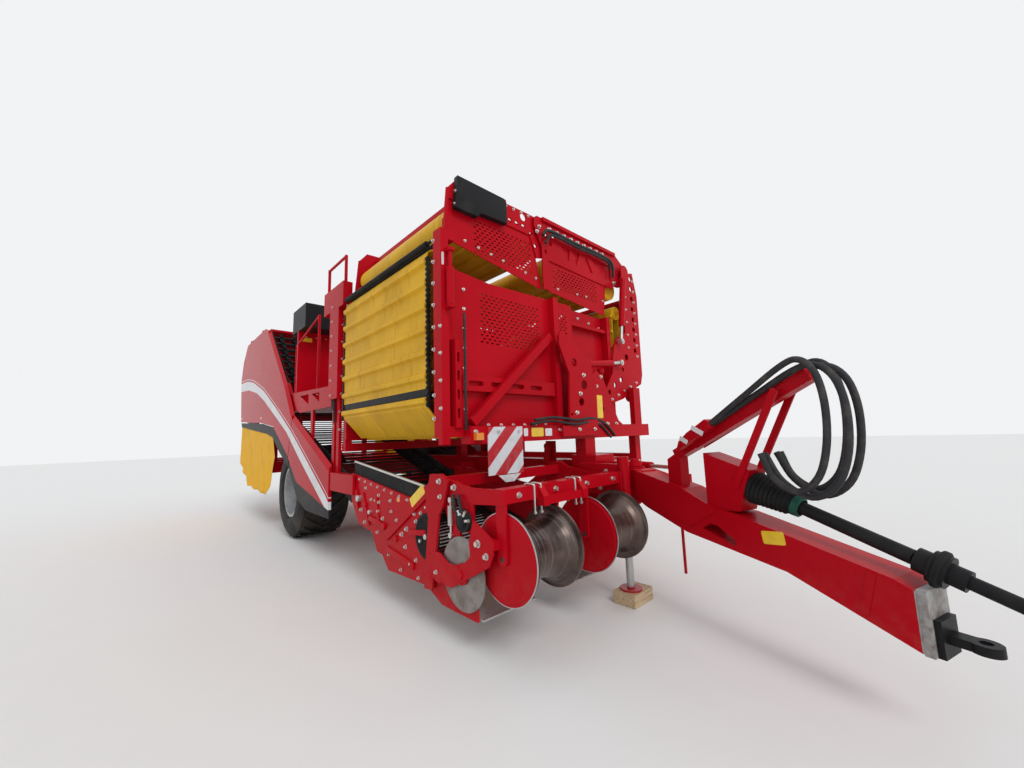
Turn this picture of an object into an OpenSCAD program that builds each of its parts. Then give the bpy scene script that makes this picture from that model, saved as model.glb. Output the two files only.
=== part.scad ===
// Trailed two-row potato harvester with a moving-floor bunker, in millimetres.
// X points to the machine's left, Y to its rear and Z up.
// The origin lies on the ground, midway along its length.

/* [Overall] */
// Width over the side covers
overall_w = 3380; // [3300:10:3460]
// Reach of the machine in front of and behind the origin
reach = 6080; // [6040:10:6120]

/* [Wheels] */
// Distance of the axle behind the origin
axle_y = 1650; // [1600:10:1700]
// Outer diameter over the lugs
tyre_d = 1490; // [1460:10:1510]
// Section width of the tyre
tyre_w = 790; // [740:10:800]
// Diameter over the rim flanges
rim_d = 820; // [780:10:840]
// Lugs in each of the two rows
lug_count = 22; // [16:1:26]
// Height of a lug
lug_h = 26; // [20:1:32]
// Diameter of the wheel spindle
spindle_d = 110; // [90:2:130]

/* [Digging unit] */
// Distance between the two ridges
ridge_spacing = 914; // [880:2:930]
// Diameter of the ridge rollers
roller_d = 600; // [560:10:620]
// Width of a ridge roller
roller_w = 480; // [440:10:500]
// Diameter of the disc coulters
coulter_d = 530; // [480:10:560]
// Height of the lift pivot
lift_pivot_z = 1000; // [960:10:1040]
// Distance of the lift pivot in front of the origin
lift_pivot_y = 1150; // [1120:10:1200]
// Distance between the bars of the sieve web
web_pitch = 60; // [50:2:80]
// Diameter of a web bar
web_bar_d = 12; // [10:1:14]

/* [Bunker] */
// Front face of the bunker ahead of the origin
bunker_front_y = 3010; // [2980:10:3040]
// Rear face of the bunker ahead of the origin
bunker_rear_y = 770; // [740:10:800]
// Height of the bunker's edge
bunker_top_z = 3060; // [3000:10:3100]
// Height of the underside of the moving floor
floor_z = 1580; // [1560:5:1620]
// Distance between the ribs of the moving floor
rib_pitch = 215; // [200:5:240]
// Thickness of the sheet walls
wall_t = 12; // [8:1:16]

/* [Unloading elevator] */
// Height of the lower elevator's pivot
swing_z = 2050; // [2000:10:2100]
// Height of the upper elevator's pivot
fold_z = 3800; // [3760:10:3840]

/* [Drawbar] */
// Angle of the drawbar to the machine as it stands
drawbar_angle = 17; // [10:1:20]
// Distance of the steering pivot left of the middle
steer_x = 220; // [200:5:260]
// Distance of the steering pivot in front of the origin
steer_y = 3680; // [3660:5:3720]
// Length from the steering pivot to the end plate
drawbar_l = 2110; // [2080:5:2140]
// Width of the drawbar
drawbar_w = 260; // [220:10:280]
// Bore of the towing eye
eye_bore = 50; // [40:1:52]
// Thickness of the towing eye
eye_t = 45; // [35:1:50]
// Height of the towing eye
eye_z = 480; // [460:5:500]

/* [Clearances] */
// Gap between a turning pin and its bore
run_gap = 0.05; // [0.01:0.01:0.1]
// Gap between a resting piece and its seat
seat_gap = 0.3; // [0.1:0.1:0.5]
// Gap between a moving piece and its neighbour
free_gap = 20; // [10:1:40]

/* [Hidden] */
$fn = 48;
half_w = overall_w / 2;
box_w = 200;
shaft_d = 44;
yoke_d = 70;
pto_start = [1230, 1130];
pto_end = [2110, 830];
pto_dir = atan2(pto_end[1] - pto_start[1], pto_end[0] - pto_start[0]);
pto_len = norm(pto_end - pto_start);
pto_slope = cos(drawbar_angle) * cos(pto_dir);
pto_reach = reach - steer_y - pto_start[0] * cos(drawbar_angle);
pto_total = (pto_reach - yoke_d / 2 * sqrt(1 - pto_slope * pto_slope)) / pto_slope;
tyre_r = tyre_d / 2;
rim_r = rim_d / 2;
cover_t = 40;
cover_x = half_w - cover_t;
wheel_x = cover_x - free_gap - tyre_w / 2;
rail_x = wheel_x - tyre_w / 2 - free_gap - 40;
inner_x = cover_x - free_gap;

frame_z = 1000;
frame_h = 200;
frame_rear_y = 4900;
front_beam_y = 450;
centre_rail_x = steer_x;
lug_gap = 300;
lug_t = 50;
steer_z = 1060;
belt_x = half_w - 40;
belt_y0 = -bunker_front_y + 220;
belt_y1 = -bunker_rear_y - 50;
belt_t = 12;
rib_h = 30;
cyl_d = 80;
cyl_pin = 32;
pin_clear = 6;
cyl_boss = 40;
steer_lug_top = 1150;
elev_pin = 60;
lift_x = -60;
lift_top = [-2760, 1420];
lift_eye = [-2660, 760];
lift_len = norm(lift_eye - lift_top);
lift_tilt = atan2(lift_eye[0] - lift_top[0], -(lift_eye[1] - lift_top[1]));
steer_h = 1200;
steer_base = [600, -3180];
steer_lug = [190, -446];
elev_y0 = -bunker_front_y;
elev_y1 = -bunker_rear_y - 60;
swing_x = 1320;
fold_x = 1400;
knuckle_x = -300;
knuckle_z = 3960;
lower_y = elev_y0 - 30;
cyl_y = elev_y0 - 85;
// Eyes of the elevator's cylinders as [x, z], the barrel's first
swing_cyl = [[200, 2350], [1050, 2450]];
arm_cyl = [[1240, 3610], [1100, 2740]];
slot_l = 36;
slot_w = 15;
slot_pitch = [64, 33];
mast_front_y = -790;
// Uprights of the side strips as [y, top]
skirt_posts = [[2700, 1800], [3800, 1900], [4900, 1950]];
wall_x1 = 980;
digger_right = -half_w + 50;
digger_left = -180;
plate_t = 20;
roller_y = -3720;
roller_z = 725;
roller_x = [-half_w + 90, -half_w + 90 + ridge_spacing];
coulter_y = -3300;
coulter_z = 550;
jack_x = -60;
jack_y = 3720;
jack_d = 70;
block_h = 110;
web_plate = 10;
web_x0 = -half_w + 100 + seat_gap;
web_x1 = digger_left - 20;
pivot_pin = 80 - 2 * run_gap;

RED = [0.72, 0.03, 0.06];
YELLOW = [0.85, 0.62, 0.05];
BLACK = [0.07, 0.07, 0.08];
STEEL = [0.55, 0.56, 0.57];
BROWN = [0.22, 0.17, 0.15];
ZINC = [0.7, 0.7, 0.72];

// Bars and boxes

// A box between two corners
module span(a, b) {
    translate([min(a[0], b[0]), min(a[1], b[1]), min(a[2], b[2])])
        cube([abs(b[0] - a[0]), abs(b[1] - a[1]), abs(b[2] - a[2])]);
}

// A plate in the side plane, drawn as [y, z], from x0 to x1
module side_plate(points, x0, x1) {
    translate([min(x0, x1), 0, 0])
        rotate([90, 0, 90])
            linear_extrude(abs(x1 - x0)) polygon(points);
}

// A plate in the front plane, drawn as [x, z], from y0 rearward by t
module front_plate(points, y0, t) {
    translate([0, y0 + t, 0])
        rotate([90, 0, 0])
            linear_extrude(t) polygon(points);
}

// A round bar along X
module bar_x(x0, x1, y, z, d, sides = $fn) {
    translate([min(x0, x1), y, z])
        rotate([0, 90, 0])
            cylinder(d = d, h = abs(x1 - x0), $fn = sides);
}

// A round bar along Y
module bar_y(x, y0, y1, z, d) {
    translate([x, max(y0, y1), z])
        rotate([90, 0, 0])
            cylinder(d = d, h = abs(y1 - y0));
}

// A square tube between two points of the side plane
module side_beam(p, q, x0, x1, h) {
    dy = q[0] - p[0];
    dz = q[1] - p[1];
    translate([min(x0, x1), p[0], p[1]])
        rotate([atan2(dz, dy), 0, 0])
            translate([0, 0, -h / 2])
                cube([abs(x1 - x0), norm([dy, dz]), h]);
}

// A square tube between two points of the front plane
module front_beam(p, q, y0, y1, h) {
    dx = q[0] - p[0];
    dz = q[1] - p[1];
    translate([p[0], min(y0, y1), p[1]])
        rotate([0, -atan2(dz, dx), 0])
            translate([0, 0, -h / 2])
                cube([norm([dx, dz]), abs(y1 - y0), h]);
}

// A slot with round ends
module slot(l, w) {
    square([l - w, w], center = true);
    for (s = [-1, 1])
        translate([s * (l - w) / 2, 0]) circle(d = w, $fn = 24);
}

// Staggered rows of slots from one corner to the other
module slot_field(low, high) {
    rows = floor((high[1] - low[1]) / slot_pitch[1]);
    columns = floor((high[0] - low[0]) / slot_pitch[0]);
    for (r = [0:rows], c = [0:columns - r % 2])
        translate([low[0] + (c + (r % 2) / 2) * slot_pitch[0], low[1] + r * slot_pitch[1]])
            slot(slot_l, slot_w);
}

// A sheet in the front plane with its outline as [x, z] and fields of slots as pairs of corners
module slotted_sheet(points, fields, y0, t) {
    translate([0, y0 + t, 0])
        rotate([90, 0, 0])
            linear_extrude(t)
                difference() {
                    polygon(points);
                    for (f = fields) slot_field(f[0], f[1]);
                }
}

// Round holes through a plate of the front plane, as [x, z, diameter]
module front_holes(holes, y0, y1) {
    for (h = holes) bar_y(h[0], y0, y1, h[1], h[2]);
}

module capsule(l, r) {
    circle(r = r);
    translate([l, 0]) circle(r = r);
    translate([0, -r]) square([l, 2 * r]);
}

// A belt with flights round two drums of the front plane, whose centres are p and q
module belt_loop(p, q, r, y0, y1) {
    v = q - p;
    l = norm(v);
    translate([p[0], y1, p[1]])
        rotate([90, 0, 0])
            linear_extrude(y1 - y0)
                rotate(atan2(v[1], v[0])) {
                    difference() {
                        capsule(l, r);
                        capsule(l, r - belt_t);
                    }
                    for (x = [rib_pitch / 2:rib_pitch:l], side = [-1, 1])
                        translate([x, side * r])
                            polygon([[-24, -side * 4], [-12, side * rib_h], [12, side * rib_h],
                                [24, -side * 4]]);
                }
}

// The drums of such a belt, with shafts to the plates at shaft_y0 and shaft_y1
module belt_drums(p, q, r, y0, y1, shaft_y0, shaft_y1) {
    for (c = [p, q]) {
        bar_y(c[0], y0, y1, c[1], 2 * (r - belt_t - seat_gap));
        bar_y(c[0], shaft_y0, shaft_y1, c[1], 50);
    }
}

// Wheels

// Half section of the tyre as [distance from the mid plane, radius]
tyre_section = [
    [0.86, 0.00], [0.86, 0.07], [0.97, 0.20], [1.00, 0.42], [0.98, 0.66], [0.92, 0.86], [0.84, 1.00],
];

module tyre(side) {
    carcass_r = tyre_r - lug_h;
    bead_r = rim_r - 20;
    right = [for (p = tyre_section) [bead_r + p[1] * (carcass_r - bead_r), p[0] * tyre_w / 2]];
    left = [for (i = [len(right) - 1:-1:0]) [right[i][0], -right[i][1]]];
    lug_l = tyre_w * 0.5;
    color(BLACK)
        translate([side * wheel_x, axle_y, tyre_r])
            rotate([0, 90, 0]) {
                rotate_extrude($fn = 96) polygon(concat(right, left));
                intersection() {
                    for (i = [0:lug_count - 1], row = [-1, 1])
                        rotate([0, 0, (i + (row > 0 ? 0.5 : 0)) * 360 / lug_count])
                            translate([carcass_r - lug_h, 0, row * lug_l * 0.40])
                                rotate([row * 42, 0, 0])
                                    translate([0, -28, -lug_l / 2])
                                        cube([lug_h * 3, 56, lug_l]);
                    translate([0, 0, -tyre_w * 0.42])
                        cylinder(r = tyre_r, h = tyre_w * 0.84, $fn = 96);
                }
            }
}

module rim(side) {
    bead_r = rim_r - 20 - seat_gap;
    well = 14;
    half = tyre_w * 0.43;
    dish = tyre_w * 0.10;
    hub_r = 150;
    color(STEEL)
        translate([side * wheel_x, axle_y, tyre_r])
            rotate([0, side * 90, 0])
                rotate_extrude($fn = 96)
                    polygon([
                        [spindle_d / 2 + run_gap, -half * 0.5], [hub_r, -half * 0.5], [hub_r, -dish],
                        [bead_r - well, -dish], [bead_r - well, -half - 14], [rim_r, -half - 14],
                        [rim_r, -half - 2],
                        [bead_r, -half - 2], [bead_r, half + 2], [rim_r, half + 2], [rim_r, half + 14],
                        [bead_r - well, half + 14], [bead_r - well, dish * 0.2], [hub_r + 60, dish * 0.2],
                        [hub_r, dish * 1.2], [hub_r * 0.6, dish * 1.6], [spindle_d / 2 + run_gap, dish * 1.6],
                    ]);
}

module axle() {
    beam = 160;
    hub_in = wheel_x - tyre_w * 0.43 * 0.5;
    color(RED) {
        span([-hub_in + free_gap, axle_y - beam / 2, tyre_r - beam / 2],
            [hub_in - free_gap, axle_y + beam / 2, tyre_r + beam / 2]);
        for (side = [-1, 1]) {
            bar_x(side * (hub_in - free_gap), side * (hub_in + 250), axle_y, tyre_r, spindle_d);
            span([side * (rail_x - 60), axle_y - 150, tyre_r + beam / 2],
                [side * (rail_x + 40), axle_y + 150, frame_z]);
        }
    }
}

// Main frame

module main_frame() {
    top = frame_z + frame_h;
    color(RED) {
        for (side = [-1, 1]) {
            span([side * (rail_x - 60), front_beam_y, frame_z], [side * (rail_x + 40), frame_rear_y, top]);
            span([side * (half_w - 100), side < 0 ? -lift_pivot_y + 110 : -700, frame_z - 60],
                [side * (cover_x - seat_gap), front_beam_y + 150, top - 40]);
            for (y = skirt_posts) {
                span([side * rail_x, y[0], frame_z], [side * (cover_x - seat_gap), y[0] + 80, top]);
                span([side * (cover_x - 80), y[0], top], [side * (cover_x - seat_gap), y[0] + 80, y[1]]);
            }
        }
        for (y = [front_beam_y, 2700, 3800, frame_rear_y])
            span([-rail_x, y, frame_z], [rail_x, y + 120, top]);
        span([-cover_x + seat_gap, front_beam_y, frame_z], [cover_x - seat_gap, front_beam_y + 150, top]);
        span([centre_rail_x - 90, -bunker_front_y, frame_z + 60], [centre_rail_x + 90, front_beam_y, top + 60]);
        span([half_w - 260, -bunker_front_y, frame_z + 60], [half_w - 140, front_beam_y, top + 60]);
        span([web_x1 + seat_gap, front_beam_y, top], [web_x1 + 80, front_beam_y + 150, top + 200]);
        // Pivots of the digging unit
        span([-half_w + 10, -lift_pivot_y - 60, frame_z - 60], [-cover_x, -470, top - 40]);
        span([-half_w + 10, -lift_pivot_y + 110, frame_z - 60], [-cover_x + 20, -470, top - 40]);
        bar_x(-cover_x, digger_right + plate_t - 2, -lift_pivot_y, lift_pivot_z, pivot_pin);
        span([digger_left + 20, -lift_pivot_y - 60, frame_z - 60],
            [centre_rail_x - 90, -lift_pivot_y + 60, top]);
        bar_x(digger_left - plate_t, digger_left + 20, -lift_pivot_y, lift_pivot_z, pivot_pin);
        // Lug of the lift cylinder
        span([lift_x + 40, lift_top[0] - 70, top - 10], [centre_rail_x - 90, lift_top[0] + 70, top + 60]);
        span([lift_x + 40, lift_top[0] - 70, top - 10], [lift_x + 60, lift_top[0] + 70, lift_top[1] + 60]);
        bar_x(lift_x - cyl_boss, lift_x + 60, lift_top[0], lift_top[1], cyl_pin - 2 * run_gap);
    }
}

module headstock() {
    front = -bunker_front_y - 320;
    color(RED)
        difference() {
            union() {
                span([centre_rail_x - 170, front, 860], [centre_rail_x + 170, -bunker_front_y, 1320]);
                for (z = [steer_z - lug_gap / 2 - lug_t, steer_z + lug_gap / 2])
                    translate([0, 0, z])
                        linear_extrude(lug_t) {
                            polygon([
                                [centre_rail_x - 150, front], [steer_x - 75, -steer_y],
                                [steer_x + 75, -steer_y], [centre_rail_x + 120, front],
                            ]);
                            translate([steer_x, -steer_y]) circle(r = 75);
                        }
                // Sleeve and arm of the jack
                translate([jack_x, -jack_y, 900]) cylinder(d = 110, h = 420);
                span([jack_x - 40, -jack_y, 950], [jack_x + 40, front + 120, 1250]);
                span([jack_x - 40, front, 950], [centre_rail_x - 100, front + 120, 1250]);
                // Lug of the steering cylinder
                for (z = [steer_h - 70, steer_h + 45])
                    span([centre_rail_x + 100, steer_base[1] - 50, z],
                        [steer_base[0] + 40, steer_base[1] + 50, z + 25]);
            }
            translate([jack_x, -jack_y, 800]) cylinder(d = jack_d + 2 * seat_gap, h = 600);
        }
    color(ZINC) {
        translate([steer_x, -steer_y, steer_z - lug_gap / 2 - lug_t - 20])
            cylinder(d = pivot_pin, h = lug_gap + 2 * lug_t + 40);
        translate([steer_base[0], steer_base[1], steer_h - 70])
            cylinder(d = cyl_pin - 2 * run_gap, h = 140);
    }
}

// Bunker

// The loop of the moving floor as [x, z]
function floor_loop(off) = [
    [-belt_x - off, 3230], [-belt_x - off, 1830], [-belt_x + 220 - off * 0.6, floor_z - off],
    [900 + off, floor_z - off], [900 + off, floor_z + 180 + off],
    [-belt_x + 330 + off * 0.4, floor_z + 180 + off],
    [-belt_x + 170 + off, floor_z + 330 + off * 0.4], [-belt_x + 170 + off, 3230],
];

module moving_floor() {
    color(YELLOW)
        translate([0, belt_y1, 0])
            rotate([90, 0, 0])
                linear_extrude(belt_y1 - belt_y0) {
                    difference() {
                        union() {
                            polygon(floor_loop(0));
                            translate([-belt_x + 85, 3230]) circle(r = 85);
                        }
                        polygon(floor_loop(-belt_t));
                        translate([-belt_x + 85, 3230]) circle(r = 85 - belt_t);
                    }
                    for (i = [0:6])
                        translate([-belt_x, 1890 + i * rib_pitch])
                            polygon([[1, -42], [-rib_h, -20], [-rib_h, 20], [1, 42]]);
                    for (i = [0:10])
                        translate([-belt_x + 330 + i * rib_pitch, floor_z])
                            polygon([[-42, 1], [-20, -rib_h], [20, -rib_h], [42, 1]]);
                }
}

module floor_chains() {
    color(BLACK)
        for (y = [belt_y0 - 25 - seat_gap, belt_y1 + seat_gap], i = [0:27]) {
            translate([-belt_x + 4, y, 1850 + i * 50])
                rotate([-90, 0, 0]) cylinder(d = 44, h = 25, $fn = 12);
            if (i < 27)
                span([-belt_x - 6, y, 1850 + i * 50], [-belt_x + 14, y + 25, 1900 + i * 50]);
        }
}

module belt_rollers() {
    color(BLACK) {
        for (x = [-belt_x + 5, -belt_x + 85]) {
            bar_y(x, belt_y0, belt_y1, 3230 + 85 + 30 + seat_gap, 60);
            bar_y(x, -bunker_front_y + 60 + seat_gap, mast_front_y - seat_gap, 3230 + 85 + 30 + seat_gap, 24);
        }
        bar_y(800, belt_y0, belt_y1, floor_z + 90, 180 - 2 * belt_t - 2 * seat_gap);
        bar_y(800, -bunker_front_y + wall_t + seat_gap, -bunker_rear_y - seat_gap, floor_z + 90, 50);
    }
}

module bunker_front_wall() {
    y = -bunker_front_y;
    low = floor_z - 20;
    recess = [160, 920, 2000];
    depth = 110;
    color(RED) {
        slotted_sheet([
            [-half_w + 90, low], [-half_w + 90, bunker_top_z + 20], [-1100, bunker_top_z - 30],
            [recess[0] + wall_t, bunker_top_z], [recess[0] + wall_t, recess[2]],
            [recess[1] - wall_t, recess[2]],
            [recess[1] - wall_t, bunker_top_z], [wall_x1, bunker_top_z], [wall_x1, low],
        ], [[[-1190, 2440], [-360, 2930]], [[-130, 2510], [80, 2930]]], y, wall_t);
        // The recess under the elevator's arm
        span([recess[0], y, recess[2]], [recess[0] + wall_t, y + depth, bunker_top_z]);
        span([recess[1] - wall_t, y, recess[2]], [recess[1], y + depth, bunker_top_z]);
        span([recess[0], y + depth - wall_t, recess[2] - wall_t], [recess[1], y + depth, bunker_top_z]);
        span([recess[0], y + 1, recess[2] - wall_t], [recess[1], y + depth, recess[2]]);
        span([recess[0] + wall_t, y + 20, 2840], [recess[1] - wall_t, y + depth - 1, 2880]);
    }
}

module bunker_rear_wall() {
    color(RED)
        front_plate([
            [-half_w + 90, floor_z - 20], [-half_w + 90, bunker_top_z + 240], [wall_x1, bunker_top_z + 240],
            [wall_x1, floor_z - 20],
        ], -bunker_rear_y, wall_t);
}

module bunker_frame() {
    front = -bunker_front_y;
    rear = -bunker_rear_y + wall_t;
    color(RED) {
        span([-half_w + 10, front - 60, floor_z - 20], [-half_w + 90, front + 60, 3300]);
        span([-half_w + 10, front - 60, 3300], [-belt_x + 115, front + 60, 3390]);
        span([-half_w + 90, front - 60, floor_z - 80], [-half_w + 10, front, floor_z - 20]);
        span([-half_w + 90, front - 60, floor_z - 20], [-1440, front - 0.01, 1650]);
        span([-1450, front - 140, 1500], [half_w - 140, front - 0.01, 1650]);
        span([-240, front - 80, 1650], [-160, front, bunker_top_z]);
        front_beam([-1390, 1680], [-330, 2600], front - 110, front - 40, 80);
        difference() {
            front_plate([
                [-290, 2600], [-250, 2650], [-200, 2640], [150, 2420], [260, 2400], [280, 2210], [340, 2120],
                [330, 1530], [-180, 1530], [-140, 2200], [-290, 2500],
            ], front - 180, 25);
            front_holes([[-50, 2330, 90], [110, 2090, 105], [50, 1900, 90], [-130, 1760, 36]], front - 190,
                front - 150);
        }
        span([-290, front - 180, 1530], [330, front - 140, 1640]);
        bar_y(swing_cyl[0][0], front - 170, front + 5, swing_cyl[0][1], cyl_pin - 2 * run_gap);
        // Rear gusset of the A-frame
        difference() {
            front_plate([[360, 1600], [360, 2240], [440, 2290], [560, 2230], [740, 1890], [860, 1700],
                [1040, 1600]], front - 120, 25);
            front_holes([[520, 1830, 80]], front - 130, front - 90);
        }
        translate([620, front - 60, 1600]) cylinder(d = 56, h = 690);
        translate([620, front - 60, 2280]) cylinder(d = 76, h = 50);
        // Slotted cross bar
        difference() {
            span([-1470, front - 60, 1960], [-250, front, 2100]);
            for (x = [-1320, -1060, -800, -540])
                translate([x, front - 20, 2030]) rotate([90, 0, 0]) linear_extrude(60) slot(170, 46);
        }
        // Cylinder and slotted rail of the corner post
        translate([-half_w + 80, front - 100, 2690]) cylinder(d = 70, h = 330);
        translate([-half_w + 80, front - 100, 3010]) cylinder(d = 36, h = 180);
        span([-half_w + 50, front - 130, 2660], [-half_w + 110, front - 50, 2700]);
        span([-half_w + 50, front - 130, 3170], [-half_w + 110, front - 50, 3200]);
        difference() {
            span([-half_w + 130, front - 90, 1640], [-half_w + 190, front - 0.01, 2400]);
            for (z = [1760:160:2300])
                translate([-half_w + 160, front - 60, z]) rotate([90, 90, 0]) linear_extrude(60) slot(90, 26);
        }
        span([wall_x1 - 60, front + wall_t, 1500], [wall_x1, front + wall_t + 60, 2300]);
        span([wall_x1, front, 1500], [wall_x1 + 20, front + wall_t + 60, 2300]);
        span([centre_rail_x - 90, front - 140, 1320], [centre_rail_x + 90, front, 1500]);
        span([half_w - 260, front, frame_z + 260], [half_w - 140, front + 100, 1500]);
        span([half_w - 260, front - 30, 1495], [half_w - 140, front + 100, 1655]);
        for (x = [-half_w + 90, -600, 300, wall_x1 - 60])
            span([x, rear, floor_z - 60], [x + 80, rear + 80, bunker_top_z]);
        span([-half_w + 90, rear, floor_z - 160], [half_w - 140, rear + 120, floor_z - 60]);
        for (x = [centre_rail_x - 60, half_w - 260])
            span([x, rear, frame_z + 260], [x + 120, rear + 120, floor_z - 160]);
        // Posts and pins of the unloading elevator
        span([swing_x - 80, front - 130, 1640], [swing_x + 80, front - 60, swing_z + 80]);
        bar_y(swing_x, front - 130, front - 5, swing_z, elev_pin - 2 * run_gap);
        span([swing_x - 80, rear, floor_z - 160], [swing_x + 80, rear + 80, swing_z + 80]);
        bar_y(swing_x, elev_y1 - 20, rear + 80, swing_z, elev_pin - 2 * run_gap);
    }
}

// Webs and separators

// A closed loop of bars between two points of the side plane, [y, z]
module bar_web(p, q, gap, x0, x1, pitch) {
    dy = q[0] - p[0];
    dz = q[1] - p[1];
    run = norm([dy, dz]);
    count = floor(run / pitch);
    strip_w = 40;
    translate([0, p[0], p[1]])
        rotate([atan2(dz, dy), 0, 0]) {
            for (i = [0:count], s = [-1, 1])
                span([x0 + strip_w / 2, i * pitch - web_bar_d / 2, s * gap / 2 - web_bar_d / 2],
                    [x1 - strip_w / 2, i * pitch + web_bar_d / 2, s * gap / 2 + web_bar_d / 2]);
            for (x = [x0, x1 - strip_w], s = [-1, 1])
                span([x, 0, s * gap / 2 - 8], [x + strip_w, count * pitch, s * gap / 2 + 8]);
            for (x = [x0, x1 - strip_w], y = [0, count * pitch])
                bar_x(x, x + strip_w, y, 0, gap + 16);
        }
}

module main_web() {
    color(BLACK) {
        bar_web([-900, 940], [3300, 2380], 180, web_x0 + web_plate + 10, web_x1 - web_plate - 10,
            2 * web_pitch);
        for (p = [[-900, 940], [3300, 2380]])
            bar_x(web_x0, web_x1, p[0], p[1], 60);
    }
    color(RED)
        for (x = [web_x0, web_x1 - web_plate])
            side_plate([[-960, 820], [3340, 2284], [3340, 2574], [-960, 1110]], x, x + web_plate);
}

module star(d, points) {
    polygon([for (i = [0:2 * points - 1]) (i % 2 == 0 ? d / 2 : d / 3.2) * [cos(i * 180 / points),
        sin(i * 180 / points)]]);
}

module star_rollers() {
    color(BLACK)
        for (i = [0:7]) {
            y = 2050 + i * 170;
            z = 2620 + i * 152;
            bar_x(-half_w + 90, half_w - 90, y, z, 60);
            for (x = [-1500:250:1500])
                translate([x, y, z]) rotate([0, 90, 0]) linear_extrude(40) star(200, 7);
        }
    color(RED)
        for (side = [-1, 1])
            side_plate([[1925, 2440], [1925, 2600], [3400 - seat_gap, 3860], [3400 - seat_gap, 3700]],
                side * (half_w - 90), side * (half_w - 78));
}

module rail_tube(points, d) {
    for (i = [0:len(points) - 2]) {
        a = points[i];
        b = points[i + 1];
        v = b - a;
        l = norm(v);
        translate(a)
            rotate([0, acos(v[2] / l), atan2(v[1], v[0])])
                translate([0, 0, -d * 0.3])
                    cylinder(d = i % 2 == 0 ? d : d - 4, h = l + d * 0.6);
    }
}

module picking_platform() {
    beam_x = inner_x - 40;
    color(RED) {
        span([-inner_x, -250, 2060], [inner_x, 1700, 2100]);
        for (side = [-1, 1]) {
            difference() {
                side_plate([
                    [-300, 2300], [1700, 2380], [1925 - seat_gap, 2600], [1925 - seat_gap, 2440], [1700, 2200],
                    [1150, 2020], [-300, 2020],
                ], side * beam_x, side * inner_x);
                side_plate([[200, 2120], [200, 2260], [560, 2270]], side * (beam_x - 10),
                    side * (inner_x + 10));
                side_plate([[700, 2120], [700, 2280], [1150, 2290]], side * (beam_x - 10),
                    side * (inner_x + 10));
            }
            span([side * (half_w - 95), front_beam_y + 20, frame_z + frame_h],
                [side * inner_x, front_beam_y + 110, 2060]);
            rail_tube([
                [side * (beam_x + 20), 350, 2290], [side * (beam_x + 20), 350, 3440],
                [side * (beam_x + 20), 1500, 3180], [side * (beam_x + 20), 1500, 2300],
            ], 38);
        }
        span([-inner_x, 1380, 2090], [-1000, 1420, 3420]);
    }
}

module mast_frame() {
    color(RED)
        for (side = [-1, 1]) {
            span([side * (half_w - 10), -640, 2100], [side * (half_w - 130), -320, 3620]);
            for (y = [-600, -440])
                span([side * inner_x, y, frame_z + frame_h - 40], [side * (half_w - 98), y + 80, 2100]);
            rail_tube([
                [side * inner_x, -110, 3600], [side * inner_x, -110, 3980],
                [side * inner_x, -740, 3980], [side * inner_x, -740, 3600],
            ], 40);
            span([side * (half_w - 10), mast_front_y, 3300], [side * (half_w - 130), -70, 3620]);
        }
}

module control_box() {
    color(BLACK)
        span([-inner_x, 1000, 3420], [-950, 1720, 3820]);
}

// Side covers

// Outline of the rear cover as [y, z]
cover_outline = [
    [5830, 2075], [reach, 3100], [5880, 3560], [5440, 3915], [3610, 3930], [3260, 3830],
    [1820, 2560], [1330, 2000], [1520, 1320], [2580, 1850], [3650, 1965],
];
// Outline of the front cover as [y, z]
front_outline = [
    [1310, 1985], [-450, 1250], [-450, 690], [980, 950], [1500, 1300],
];
// Outline of the dark strip below the front cover as [y, z]
strip_outline = [
    [-450, 690 - seat_gap], [980, 950 - seat_gap], [1470, 1279.5 - seat_gap], [1480, 1160], [950, 700],
    [500, 580], [-450, 580],
];
// Outline of the dark strip below the rear cover as [y, z]
skirt_outline = [
    [1510, 1170], [2090, 1380], [2620, 1650], [3090, 1730], [5750, 1950], [5830, 2050],
    [3650, 1945], [2580, 1825], [1530, 1290],
];
hinge_z = 3960;
hinge_x = cover_x - 10;

// A bevel along the outer edge from p to q, both as [y, z], the cover lying below it
module edge_bevel(side, p, q, w) {
    d = q - p;
    past = 10;
    translate([side * half_w, p[0], p[1]])
        rotate([atan2(d[1], d[0]), 0, 0])
            rotate([90, 0, 0])
                translate([0, 0, -norm(d) - past])
                    linear_extrude(norm(d) + 2 * past)
                        polygon([[side * 2, 2], [-side * w, 2], [side * 2, -2.4 * w]]);
}

module cover(side) {
    color(RED)
        difference() {
            side_plate(cover_outline, side * half_w, side * cover_x);
            edge_bevel(side, [1330, 2000], [1820, 2560], 34);
            edge_bevel(side, [1820, 2560], [3260, 3830], 34);
        }
    color(ZINC)
        for (y = [3800, 5000]) {
            span([side * hinge_x, y + 62, 3860], [side * half_w, y + 120, hinge_z]);
            bar_y(side * hinge_x, y + 62, y + 120, hinge_z, 44);
            bar_y(side * hinge_x, y, y + 70, hinge_z, 20 - 2 * run_gap);
        }
}

module cover_front(side) {
    color(RED)
        difference() {
            side_plate(front_outline, side * half_w, side * cover_x);
            edge_bevel(side, [-450, 1250], [1310, 1985], 34);
        }
}

module skirt(side) {
    color(BLACK)
        for (outline = [skirt_outline, strip_outline])
            side_plate(outline, side * cover_x, side * (half_w - 10));
}

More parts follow.
